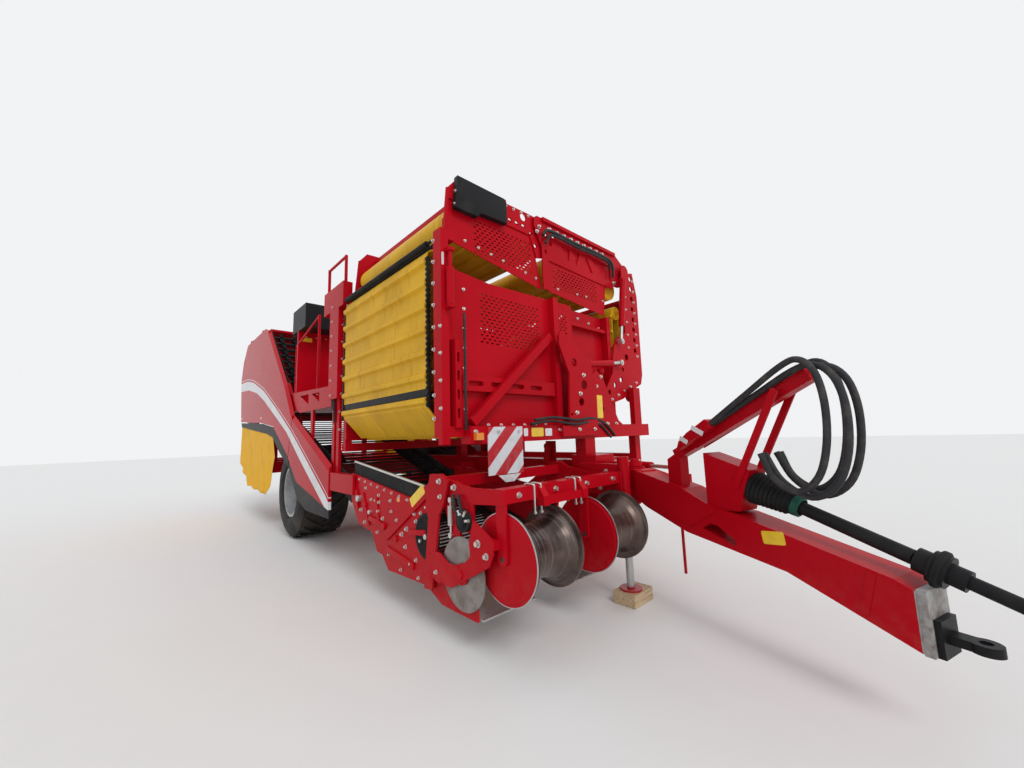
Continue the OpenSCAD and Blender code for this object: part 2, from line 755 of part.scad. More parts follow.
module rear_hood() {
    color(RED) {
        difference() {
            side_plate([[3400, 2600], [3400, 3900], [5440, 3820], [6020, 3080], [5800, 2100], [4400, 1900]],
                -inner_x, inner_x);
            side_plate([[3300, 2640], [3300, 3860], [5400, 3780], [5960, 3060], [5740, 1800], [4400, 1800]],
                -inner_x + 40, inner_x - 40);
        }
        for (side = [-1, 1]) {
            span([side * (rail_x - 60), 4300, frame_z + frame_h], [side * (rail_x + 40), 4400, 3830]);
            for (y = [3800, 5000])
                difference() {
                    union() {
                        span([side * (inner_x - 60), y, 3800], [side * hinge_x, y + 60, hinge_z]);
                        bar_y(side * hinge_x, y, y + 60, hinge_z, 44);
                    }
                    bar_y(side * hinge_x, y - 10, y + 70, hinge_z, 20);
                    span([side * inner_x, y - 10, 3790], [side * (half_w + 10), y + 70, hinge_z - 30]);
                }
        }
    }
}

module curtain(side) {
    color(YELLOW)
        side_plate([
            [2640, 1653.4 - seat_gap], [3090, 1730 - seat_gap], [5740, 1949.1 - seat_gap], [5740, 1100],
            [4690, 640], [2950, 580], [2560, 920], [2380, 1300],
        ], side * (cover_x + 5), side * (half_w - 15));
}

// Digging unit

module digger_frame() {
    outline = [
        [-1090, 880], [-1090, 1180], [-2560, 1010], [-2850, 1000], [-2930, 560], [-3180, 440], [-3440, 320],
        [-3440, 240],
        [-2980, 240], [-2750, 330], [-2040, 300], [-1900, 420], [-1780, 430], [-1660, 600], [-1300, 640],
    ];
    post = [
        [-2880, 1260], [-3060, 1270], [-3150, 1220], [-3080, 1030], [-3010, 940], [-2900, 340], [-2780, 330],
        [-2850, 900], [-2800, 1000],
    ];
    brace = [[-2900, 1180], [-2010, 620]];
    arm = [
        [-3470, 960], [-3600, 900], [-3680, 860], [-3690, 760], [-3640, 670], [-3190, 430], [-3080, 430],
        [-2900, 560], [-3000, 650], [-3150, 600], [-3300, 600], [-3430, 700], [-3420, 800],
    ];
    arm_x = -half_w + 14;
    color(RED)
        difference() {
            union() {
                side_plate(outline, digger_right, digger_right + plate_t);
                side_plate(outline, digger_left - plate_t, digger_left);
                for (p = [[-2980, 1190, 90], [-3700, 1140, 100], [-2050, 360, 60]])
                    span([digger_right, p[0] - p[2] / 2, p[1] - p[2] / 2],
                        [digger_left, p[0] + p[2] / 2, p[1] + p[2] / 2]);
                // Post, brace and toolbar arm of each side
                for (x = [[digger_right - 20, digger_right + plate_t, digger_right - 44],
                    [digger_left - plate_t, digger_left + 10, digger_left - plate_t]]) {
                    side_plate(post, x[2], x[2] + 20);
                    side_beam(brace[0], brace[1], x[0], x[1], 90);
                    side_plate([[-3000, 1240], [-3000, 1120], [-3400, 1060], [-3765, 1090], [-3765, 1190],
                        [-3400, 1180]], x[0] + 10, x[1]);
                }
                span([digger_right - 44, -3025, 1145], [digger_right, -2935, 1235]);
                span([digger_right - 44, -2880, 345], [digger_right, -2800, 415]);
                // Carrier of the web's motor
                side_plate([[-3240, 1100], [-3420, 1100], [-3420, 850], [-3240, 850]], digger_right - 6,
                    digger_right + 14);
                // Second toolbar with its hangers
                span([-1270, -3800, 1045], [-740, -3740, 1105]);
                for (x = [-1290, -820])
                    side_plate([[-3745, 1190], [-3700, 1190], [-3700, 1100], [-3740, 1040], [-3810, 1040],
                        [-3810, 1110]], x, x + 60);
                // Arm of the right disc with its hub
                side_plate(arm, -half_w, arm_x);
                bar_x(-half_w, arm_x, -3000, 540, 230);
                bar_x(arm_x - 2, digger_right, -3000, 540, 50);
                span([-half_w, -3700, 790], [roller_x[0] - 20, -3600, 850]);
                bar_x(digger_right - 8, digger_right + plate_t, -lift_pivot_y, lift_pivot_z, 130);
                bar_x(digger_left - plate_t, digger_left + 8, -lift_pivot_y, lift_pivot_z, 130);
                for (x = roller_x, dx = [-36, roller_w + 16]) {
                    side_plate([[-3765, 1130], [-3665, 1130], [-3675, 740], [-3765, 740]], x + dx, x + dx + 20);
                    bar_x(x + dx, x + dx + 20, roller_y, roller_z, 90);
                }
                for (x = [digger_right - 6, digger_left - 14]) {
                    side_plate([[-3150, 1100], [-3000, 1100], [coulter_y + 50, coulter_z],
                        [coulter_y - 50, coulter_z]], x, x + 20);
                    bar_x(x, x + 20, coulter_y, coulter_z, 100);
                }
                bar_x(digger_left, lift_x - cyl_boss, lift_eye[0], lift_eye[1], 80);
            }
            bar_x(digger_right - 20, digger_right + 80, -lift_pivot_y, lift_pivot_z, 80);
            bar_x(digger_left - 80, digger_left + 20, -lift_pivot_y, lift_pivot_z, 80);
            for (x = roller_x, dx = [-36, roller_w + 16])
                bar_x(x + dx - 5, x + dx + 25, roller_y, roller_z, 40);
        }
    color(ZINC) {
        bar_x(digger_right + 10, digger_right - 34, coulter_y, coulter_z, 30 - 2 * run_gap);
        bar_x(digger_left - 10, digger_left + 36, coulter_y, coulter_z, 30 - 2 * run_gap);
    }
}

module ridge_roller(x) {
    color(BROWN)
        translate([x, roller_y, roller_z])
            rotate([0, 90, 0])
                rotate_extrude($fn = 72)
                    polygon(concat(
                        [[0, 0], [roller_d / 2, 0]],
                        [for (a = [0:15:180]) [roller_d / 2 - 110 * sin(a),
                        20 + (roller_w - 40) * (1 - cos(a)) / 2]],
                        [[roller_d / 2, roller_w], [0, roller_w]]
                    ));
    color(STEEL)
        bar_x(x - 36, x + roller_w + 36, roller_y, roller_z, 40 - 2 * run_gap);
}

module coulter(x) {
    color(STEEL)
        difference() {
            union() {
                bar_x(x, x + 6, coulter_y, coulter_z, coulter_d);
                bar_x(x - 6, x + 12, coulter_y, coulter_z, 120);
            }
            bar_x(x - 20, x + 30, coulter_y, coulter_z, 30);
        }
}

module digger_web() {
    color(BLACK)
        bar_web([-3050, 350], [-1250, 870], 150, digger_right + plate_t + seat_gap,
            digger_left - plate_t - seat_gap, web_pitch);
    // Drive motor, rubber edge and depth wheel on the right side
    idler = [-2770, 730];
    motor = [-3325, 935];
    color(BLACK) {
        translate([digger_right - seat_gap, idler[0], idler[1]])
            rotate([0, -90, 0])
                rotate_extrude()
                    polygon([[0, 0], [190, 0], [190, 12], [170, 18], [130, 8], [60, 8], [50, 18], [0, 18]]);
        bar_x(-half_w + 8, digger_right - 6 - seat_gap, motor[0], motor[1], 165);
        bar_x(-half_w + 1, digger_right - 20, motor[0], motor[1], 110);
        side_plate([[-1120, 1130], [-1120, 1315], [-2680, 1142], [-2560, 970]],
            digger_right + plate_t + seat_gap, digger_right + plate_t + seat_gap + 10);
    }
}

module shares() {
    x0 = digger_right + plate_t + seat_gap;
    x1 = digger_left - plate_t - seat_gap;
    color(STEEL) {
        for (x = [[x0, x0 + 540], [x1 - 526, x1]])
            side_plate([[-3480, 250], [-3180, 320], [-3180, 350], [-3480, 262]], x[0], x[1]);
        span([x0, -3200, 305], [x1, -3172, 345]);
    }
}

// Lift cylinder

// A cylinder's barrel along Z from its eye at the origin
module cylinder_barrel(l, d) {
    difference() {
        union() {
            cylinder(d = d, h = l);
            rotate([0, 90, 0]) translate([0, 0, -d * 0.35]) cylinder(d = d, h = d * 0.7);
        }
        rotate([0, 90, 0]) translate([0, 0, -d]) cylinder(d = cyl_pin, h = 2 * d);
        translate([0, 0, d]) cylinder(d = d * 0.7, h = l - d - 30);
        translate([0, 0, d]) cylinder(d = d * 0.5 + 2 * seat_gap, h = l);
    }
}

// A cylinder's rod from z0 to its eye at z1; the eye's own pin reaches to within pin_clear of the lug beside it
module cylinder_rod(z0, z1, d, lug) {
    translate([0, 0, z0]) cylinder(d = d * 0.5, h = z1 - z0);
    bar_x(-d * 0.35, d * 0.35, 0, z1, d * 0.9);
    bar_x(-d / 2, lug - pin_clear, 0, z1, cyl_pin);
}

module on_lift() {
    translate([lift_x, lift_top[0], lift_top[1]])
        rotate([180 + lift_tilt, 0, 0])
            children();
}

module lift_barrel() {
    color(RED) on_lift() cylinder_barrel(lift_len * 0.75, cyl_d);
}

module lift_rod() {
    color(ZINC) on_lift() mirror([1, 0, 0]) cylinder_rod(cyl_d + 15, lift_len, cyl_d, cyl_boss);
}

// Drawbar; drawn straight ahead from its pivot, then turned

module on_drawbar() {
    translate([steer_x, -steer_y, 0])
        rotate([0, 0, -drawbar_angle])
            children();
}

// Side view of the drawbar as [distance ahead of the pivot, z]
module drawbar_side(points, x0, x1) {
    side_plate([for (p = points) [-p[0], p[1]]], x0, x1);
}

module drawbar() {
    w = drawbar_w / 2;
    color(RED)
        difference() {
            on_drawbar()
                difference() {
                    union() {
                        drawbar_side([
                            [120, 1190], [680, 1070], [970, 950], [1160, 930], [2030, 740],
                            [drawbar_l, 700], [drawbar_l, 400],
                            [1480, 620], [700, 720], [260, 860], [120, 930],
                        ], -w, w);
                        translate([0, 0, steer_z - lug_gap / 2 + 5]) cylinder(d = 200, h = lug_gap - 10);
                        span([-w * 0.7, -200, steer_z - 120], [w * 0.7, 0, steer_z + 120]);
                        drawbar_side([[900, 1370], [1273, 1257], [1169, 950], [900, 930]], -box_w / 2,
                            box_w / 2);
                        span([w - 20, steer_lug[1] - 45, 1040],
                            [steer_lug[0] + 40, steer_lug[1] + 45, steer_lug_top]);
                    }
                    translate([0, 0, 800]) cylinder(d = 80, h = 600);
                    drawbar_side([[860, 780], [930, 830], [1000, 820], [1130, 740], [1130, 700]], -w - 10,
                        w + 10);
                }
            on_pto() translate([0, 0, -60 - seat_gap]) cylinder(d = shaft_d + 2 * run_gap, h = 80);
        }
    color(RED)
        on_drawbar() {
            // Raised rib across each side and the hanging lever
            for (x = [-w - 6, w - 6])
                drawbar_side([[1860, 520], [1900, 505], [1960, 745], [1920, 755]], x, x + 12);
            for (x = [-w - 8, w - 8])
                drawbar_side([[140, 1180], [660, 1064], [1000, 930], [760, 780], [270, 870], [140, 950]], x,
                    x + 16);
            translate([w - 30, -450, 280]) cylinder(d = 26, h = 620);
        }
    color(STEEL)
        on_drawbar()
            span([-w + 10, -drawbar_l - 40, 390], [w - 10, -drawbar_l, 710]);
}

module towing_eye() {
    y = -drawbar_l - 40;
    color(BLACK)
        on_drawbar()
            difference() {
                union() {
                    span([-90, y - 30, eye_z - 90], [90, y, eye_z + 90]);
                    span([-45, y - 150, eye_z - eye_t / 2], [45, y - 20, eye_z + eye_t / 2]);
                    translate([0, y - 150, eye_z - eye_t / 2]) cylinder(d = 120, h = eye_t);
                }
                translate([0, y - 150, eye_z - 60]) cylinder(d = eye_bore, h = 120);
            }
}

// The drive shaft runs from the bearing box down to the front joint
module on_pto() {
    on_drawbar()
        translate([0, -pto_start[0], pto_start[1]])
            rotate([90 - pto_dir, 0, 0])
                children();
}

module pto_guard() {
    color(BLACK)
        on_pto()
            difference() {
                union() {
                    for (i = [0:5])
                        translate([0, 0, seat_gap + i * 38]) cylinder(d1 = 150, d2 = 120, h = 38);
                    translate([0, 0, 228]) cylinder(d = 84, h = pto_len - 260);
                }
                translate([0, 0, -20]) cylinder(d = 60, h = pto_len + 60);
            }
}

module pto_shaft() {
    color(BLACK)
        on_pto() {
            translate([0, 0, -60]) cylinder(d = shaft_d, h = pto_len + 60);
            translate([0, 0, pto_len - 20]) cylinder(d = 130, h = 60);
            translate([0, 0, pto_len + 40]) cylinder(d = 170, h = 70);
            translate([0, 0, pto_len + 110]) cylinder(d = 110, h = 70);
            translate([0, 0, pto_len + 180]) cylinder(d = yoke_d, h = pto_total - pto_len - 180);
        }
}

module hose_boom() {
    leg_x = box_w / 2 + seat_gap;
    foot = [for (s = [480, 620]) [s, 1190 - (s - 120) * 120 / 560 + seat_gap]];
    color(RED)
        on_drawbar() {
            side_beam([-560, 1340], [-1700, 1900], -45, 45, 90);
            drawbar_side([foot[0], foot[1], [620, 1380], [480, 1300]], -50, 50);
            for (s = [-1, 1])
                side_beam([-1160, 1130], [-1520, 1820], s * leg_x, s * (leg_x + 15), 50);
            bar_x(-leg_x - 15, leg_x + 15, -1510, 1800, 30);
            // Shield on each side of the boom
            for (x = [-48, 45])
                drawbar_side([[800, 1400], [760, 1520], [1130, 1730], [1230, 1620]], x, x + 3);
        }
}

// Points of the hoses as [x, distance ahead of the pivot, z]
hose_route = [
    [0, 1000, 1600], [0, 1350, 1790], [0, 1620, 1930], [0, 1760, 1950], [0, 1860, 1850],
    [0, 1900, 1650], [0, 1880, 1400], [0, 1800, 1200], [0, 1650, 1110], [0, 1480, 1200], [0, 1380, 1380],
];

// A tube swept along points, as one closed solid
module hose(points, d, sides) {
    n = len(points);
    rings = [for (i = [0:n - 1])
        let (
            t = points[min(i + 1, n - 1)] - points[max(i - 1, 0)],
            u = t / norm(t),
            a = [1, 0, 0],
            b = cross(u, a)
        )
        [for (k = [0:sides - 1]) points[i] + d / 2 * (cos(k * 360 / sides) * a + sin(k * 360 / sides) * b)]];
    verts = [for (r = rings, p = r) p];
    faces = concat(
        [[for (k = [0:sides - 1]) k]],
        [for (i = [0:n - 2], k = [0:sides - 1])
            [i * sides + k, (i + 1) * sides + k, (i + 1) * sides + (k + 1) % sides,
            i * sides + (k + 1) % sides]],
        [[for (k = [sides - 1:-1:0]) (n - 1) * sides + k]]
    );
    polyhedron(verts, faces);
}

module hoses() {
    color(BLACK)
        on_drawbar()
            for (h = [[-1, 0, 0], [1, 0, 0], [-1, 55, -90], [1, 55, -90]])
                hose([for (i = [0:len(hose_route) - 1])
                    let (p = hose_route[i], pull = sin(i * 180 / (len(hose_route) - 1)))
                    [h[0] * (45 + 25 + seat_gap + (h[1] > 0 ? 44 + seat_gap : 0)), -p[1] - pull * h[2],
                    p[2] + pull * h[1]]], 44, 8);
}

// Steering cylinder

// The rod's eye above the drawbar's lug, seen in the frame of the machine
steer_head = [
    steer_x + steer_lug[0] * cos(drawbar_angle) + steer_lug[1] * sin(drawbar_angle),
    -steer_y - steer_lug[0] * sin(drawbar_angle) + steer_lug[1] * cos(drawbar_angle),
];
steer_len = norm(steer_head - steer_base);
steer_dir = atan2(steer_head[1] - steer_base[1], steer_head[0] - steer_base[0]);

module on_steer() {
    translate([steer_base[0], steer_base[1], steer_h])
        rotate([0, 0, steer_dir])
            rotate([0, 90, 0])
                children();
}

module steer_barrel() {
    color(RED) on_steer() cylinder_barrel(steer_len * 0.6, cyl_d);
}

module steer_rod() {
    color(ZINC) on_steer() cylinder_rod(steer_len * 0.3, steer_len, cyl_d, steer_h - steer_lug_top);
}

// Jack and its block

module jack() {
    color(STEEL)
        translate([jack_x, -jack_y, block_h + seat_gap + 10]) cylinder(d = jack_d, h = 1180);
    color(RED)
        translate([jack_x, -jack_y, block_h + seat_gap]) cylinder(d = 200, h = 16);
}

module jack_block() {
    color([0.72, 0.6, 0.42])
        span([jack_x - 130, -jack_y - 110, 0], [jack_x + 190, -jack_y + 110, block_h]);
}

// Unloading elevator

module elevator_lower() {
    outline = [
        [1310, 3800], [1310, 2900], [1090, 2800], [1020, 2700], [965, 2500], [930, 2300], [760, 2090],
        [735, 1930],
        [790, 1895], [1150, 1985], [1440, 2130], [1640, 2210], [half_w, 2350], [half_w, 3500], [1600, 3830],
        [1490, 3800],
    ];
    color(RED) {
        difference() {
            union() {
                for (y = [lower_y, elev_y1 - 20]) {
                    front_plate(outline, y, 20);
                    bar_y(fold_x, y, y + 20, fold_z, 190);
                    bar_y(swing_x, y, y + 20, swing_z, 200);
                }
                span([half_w - 20, lower_y, 2400], [half_w, elev_y1, 3500]);
                span([half_w - 20, lower_y, 3450], [half_w - 60, elev_y1, 3500]);
            }
            for (y = [lower_y + 10, elev_y1 - 10]) {
                for (z = [2680:150:3730])
                    bar_y(half_w - 150, y - 20, y + 20, z, 74);
                front_holes([[1130, 2240, 74], [970, 2160, 74], [840, 2060, 64], [1300, 2560, 90],
                    [1180, 2380, 60]], y - 20, y + 20);
                bar_y(swing_x, y - 20, y + 20, swing_z, elev_pin);
                bar_y(fold_x, y - 20, y + 20, fold_z, elev_pin);
            }
        }
    }
}

module elevator_upper() {
    y0 = elev_y0 + 30;
    y1 = elev_y1 - 30;
    pin = elev_pin - 2 * run_gap;
    outline = [
        [-260, 3190], [-260, 3680], [-375, 3900], [-375, 4000], [-330, 4035], [1240, 4050], [1500, 3900],
        [1500, 3720],
        [1330, 3570], [1280, 3560], [1200, 3560], [1160, 3510], [700, 3520], [-150, 3550], [-165, 3190],
    ];
    windows = [
        [[80, 3800], [250, 3810], [225, 3640]], [[310, 3810], [450, 3810], [370, 3630]],
        [[470, 3620], [720, 3615], [590, 3810]], [[700, 3810], [1130, 3830], [1130, 3620], [860, 3615]],
    ];
    color(RED) {
        difference() {
            union()
                for (y = [y0, y1 - 15]) {
                    front_plate(outline, y, 15);
                    bar_y(knuckle_x, y, y + 15, knuckle_z, 130);
                }
            for (y = [y0, y1 - 15]) {
                for (w = windows) front_plate(w, y - 5, 25);
                front_holes([[-190, 3860, 50], [-60, 3880, 56], [-110, 3760, 50], [-200, 3640, 44]], y - 5,
                    y + 20);
            }
        }
        front_beam([-250, 4018], [1240, 4022], y0 - 26, y0 + 15, 44);
        front_beam([-250, 4018], [1240, 4022], y1 - 15, y1 + 20, 44);
        bar_y(fold_x, lower_y, y0 + 10, fold_z, pin);
        bar_y(fold_x, y1 - 10, y1 + 28, fold_z, pin);
        for (x = [-200, 1100])
            span([x, y0, 3900], [x + 60, y1, 3960]);
        bar_y(knuckle_x, y0 + 5, y0 + 50, knuckle_z, pin);
        bar_y(knuckle_x, y1 - 50, y1 - 5, knuckle_z, pin);
        bar_y(arm_cyl[0][0], y0 + 10, cyl_y - 36, arm_cyl[0][1], cyl_pin - 2 * run_gap);
    }
}

module arm_sheets() {
    outline = [
        [-235, 3190], [-250, 3660], [-150, 3850], [1180, 3890], [1190, 3600], [1000, 3480], [930, 3090],
    ];
    color(RED)
        for (y = [elev_y0 + 45, elev_y1 - 53])
            slotted_sheet(outline, [[[-60, 3250], [790, 3510]]], y, 8);
}

// Centres of the belts' end drums as [x, z]
arm_drums = [[0, 3490], [1140, 3540]];
tip_drums = [[-1345, 3600], [-500, 3640]];
base_drums = [[1240, 2380], [1240, 3180]];

module arm_belt() {
    y = [elev_y0 + 100, elev_y1 - 100];
    color(YELLOW) {
        belt_loop(arm_drums[0], arm_drums[1], 170, y[0], y[1]);
        belt_drums(arm_drums[0], arm_drums[1], 170, y[0], y[1], elev_y0 + 53, elev_y1 - 53);
    }
}

module elevator_tip() {
    y0 = elev_y0 + 60;
    y1 = elev_y1 - 60;
    band = [
        [-1520, 3790], [-1520, 3890], [-1420, 4010], [-410, 4030], [-330, 4025], [-240, 3930], [-240, 3560],
        [-325, 3540], [-420, 3780],
    ];
    color(RED) {
        difference() {
            union()
                for (y = [y0, y1 - 15]) {
                    front_plate(band, y, 15);
                    bar_y(knuckle_x, y, y + 15, knuckle_z, 120);
                    front_plate([[-1575, 3400], [-1530, 3890], [-1500, 3890], [-1530, 3400]], y, 15);
                }
            bar_y(knuckle_x, y0 - 10, y1 + 10, knuckle_z, elev_pin);
            for (y = [y0, y1 - 15])
                front_holes([[-720, 3850, 54], [-620, 3852, 54], [-520, 3854, 54], [-520, 3960, 90],
                    [-400, 3800, 50], [-340, 3680, 44]],
                    y - 5, y + 20);
        }
        for (x = [-1330, -960])
            span([x, y0, 3870], [x + 60, y1, 3930]);
        span([-1575, y0 - 30, 3405], [-1563, y0 + 15, 3560]);
    }
    color(BLACK)
        front_plate([[-1470, 3690], [-1440, 4015], [-820, 4015], [-820, 3750], [-1160, 3745],
            [-1200, 3690]], y0 - 55, 56);
}

module tip_sheets() {
    outline = [[-1570, 3392], [-1520, 3860], [-425, 3860], [-330, 3560], [-245, 3185]];
    color(RED)
        for (y = [elev_y0 + 75, elev_y1 - 83])
            slotted_sheet(outline, [[[-1190, 3350], [-400, 3700]]], y, 8);
}

module tip_belt() {
    y = [elev_y0 + 120, elev_y1 - 120];
    color(YELLOW) {
        belt_loop(tip_drums[0], tip_drums[1], 175, y[0], y[1]);
        belt_drums(tip_drums[0], tip_drums[1], 175, y[0], y[1], elev_y0 + 83, elev_y1 - 83);
    }
}

module elevator_belts() {
    y = [elev_y0 + 60, elev_y1 - 60];
    color(YELLOW) {
        belt_loop(base_drums[0], base_drums[1], 100, y[0], y[1]);
        belt_drums(base_drums[0], base_drums[1], 100, y[0], y[1], lower_y + 20, elev_y1 - 20);
    }
}

// Cylinders of the elevator, in front of its plates, from the eye p towards the eye q
module on_front(p, q) {
    translate([p[0], cyl_y, p[1]])
        rotate([0, atan2(q[0] - p[0], q[1] - p[1]), 0])
            rotate([0, 0, 90])
                children();
}

module front_barrel(eyes) {
    color(RED)
        on_front(eyes[0], eyes[1]) cylinder_barrel(norm(eyes[1] - eyes[0]) * 0.75, cyl_d);
}

module front_rod(eyes) {
    color(ZINC)
        on_front(eyes[0], eyes[1]) cylinder_rod(cyl_d + 15, norm(eyes[1] - eyes[0]), cyl_d, lower_y - cyl_y);
}

// Small fittings

module sign_board() {
    y = -bunker_front_y - 140 - seat_gap;
    color([0.8, 0.8, 0.8])
        span([-1270, y - 8, 1220], [-850, y, 1640]);
}

module lamps() {
    y = -bunker_front_y - 140 - seat_gap;
    color([0.9, 0.4, 0.05])
        span([-1420, y - 40, 1530], [-1340, y, 1590]);
}

axle();
tyre(-1);  // tyre_right
rim(-1);  // rim_right
tyre(1);  // tyre_left
rim(1);  // rim_left
main_frame();
headstock();
bunker_frame();
bunker_front_wall();
bunker_rear_wall();
moving_floor();
floor_chains();
belt_rollers();
main_web();
star_rollers();
picking_platform();
mast_frame();
control_box();
cover(-1);  // cover_right
cover_front(-1);  // cover_right_front
cover(1);  // cover_left
cover_front(1);  // cover_left_front
skirt(-1);  // skirt_right
skirt(1);  // skirt_left
rear_hood();
curtain(-1);  // curtain_right
curtain(1);  // curtain_left
digger_frame();
digger_web();
shares();
ridge_roller(roller_x[0]);  // roller_right
ridge_roller(roller_x[1]);  // roller_left
coulter(digger_right - 24);  // coulter_right
coulter(digger_left + 20);  // coulter_left
lift_barrel();
lift_rod();
drawbar();
towing_eye();
pto_guard();
pto_shaft();
hose_boom();
hoses();
steer_barrel();
steer_rod();
jack();
jack_block();
elevator_lower();
elevator_upper();
elevator_tip();
elevator_belts();
arm_sheets();
arm_belt();
tip_sheets();
tip_belt();
front_barrel(swing_cyl);  // swing_barrel
front_rod(swing_cyl);  // swing_rod
front_barrel(arm_cyl);  // arm_barrel
front_rod(arm_cyl);  // arm_rod
sign_board();
lamps();
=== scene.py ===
import math
from collections import defaultdict

import bmesh
import bpy
from mathutils import Matrix, Vector
from mathutils.bvhtree import BVHTree


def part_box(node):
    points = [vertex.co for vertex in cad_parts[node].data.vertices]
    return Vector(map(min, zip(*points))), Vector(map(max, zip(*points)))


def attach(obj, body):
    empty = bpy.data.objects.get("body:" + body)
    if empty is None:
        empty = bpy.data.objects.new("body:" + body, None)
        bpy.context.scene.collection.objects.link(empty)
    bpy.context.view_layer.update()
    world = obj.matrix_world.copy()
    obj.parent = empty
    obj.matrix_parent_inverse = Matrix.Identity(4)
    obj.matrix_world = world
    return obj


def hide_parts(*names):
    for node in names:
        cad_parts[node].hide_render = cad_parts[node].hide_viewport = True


# Trailed potato harvester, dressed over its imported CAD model.
# Metres, +X to the machine's left, +Y to its rear.

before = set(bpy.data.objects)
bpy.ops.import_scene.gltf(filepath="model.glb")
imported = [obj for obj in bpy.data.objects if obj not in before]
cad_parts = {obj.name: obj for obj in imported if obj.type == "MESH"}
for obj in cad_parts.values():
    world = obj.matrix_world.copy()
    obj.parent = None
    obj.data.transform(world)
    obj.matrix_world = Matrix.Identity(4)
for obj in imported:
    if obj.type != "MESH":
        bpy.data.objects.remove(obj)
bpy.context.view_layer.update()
print("stage: frame loaded")

camera = {
    "place": (-3.487, -5.85, 1.57),
    "right": (0.7321, -0.6805, -0.032),
    "down": (0.0622, 0.1136, -0.9916),
    "ahead": (0.6784, 0.7239, 0.1255),
    "lens": 13.95, "sensor": 36, "near": 0.05, "far": 200,
}

light = {
    "world": 0.78, "worldTint": (0.93, 0.96, 1.0, 1),
    "background": 0.93, "backgroundTint": (0.95, 0.96, 0.98, 1),
    "sun": 1.1, "sunTurn": (38, -28, 15), "sunSoftness": 25,
    "floor": (0.8, 0.79, 0.77), "floorSize": 120,
}

# the drawbar's steering pivot, and its angle at rest
drawbarRest = {"pivot": (0.22, -3.68), "angle": 17.0}

toLeft, toRight, toRear, toFront = (1, 0, 0), (-1, 0, 0), (0, 1, 0), (0, -1, 0)
sides = (("right", -1), ("left", 1))


def addObject(name, data):
    obj = bpy.data.objects.new(name, data)
    bpy.context.scene.collection.objects.link(obj)
    return obj


def aimCamera(c):
    data = bpy.data.cameras.new("photoCamera")
    data.sensor_width, data.lens = c["sensor"], c["lens"]
    data.clip_start, data.clip_end = c["near"], c["far"]
    obj = addObject("photoCamera", data)
    right, down, ahead = (Vector(c[k]).normalized() for k in ("right", "down", "ahead"))
    turn = Matrix((right, -down, -ahead)).transposed().to_4x4()
    obj.matrix_world = Matrix.Translation(c["place"]) @ turn
    bpy.context.scene.camera = obj


class Sock:
    # one output of a shader node, used in sums like a number
    def __init__(self, paint, out):
        self.paint = paint
        self.out = out

    def __add__(self, other):
        return self.paint.maths("ADD", self, other)

    def __sub__(self, other):
        return self.paint.maths("SUBTRACT", self, other)

    def __rsub__(self, other):
        return self.paint.maths("SUBTRACT", other, self)

    def __mul__(self, other):
        return self.paint.maths("MULTIPLY", self, other)

    def __truediv__(self, other):
        return self.paint.maths("DIVIDE", self, other)

    def clamped(self, gain=1.0):
        return self.paint.maths("MULTIPLY", self, gain, True)

    __radd__ = __add__
    __rmul__ = __mul__


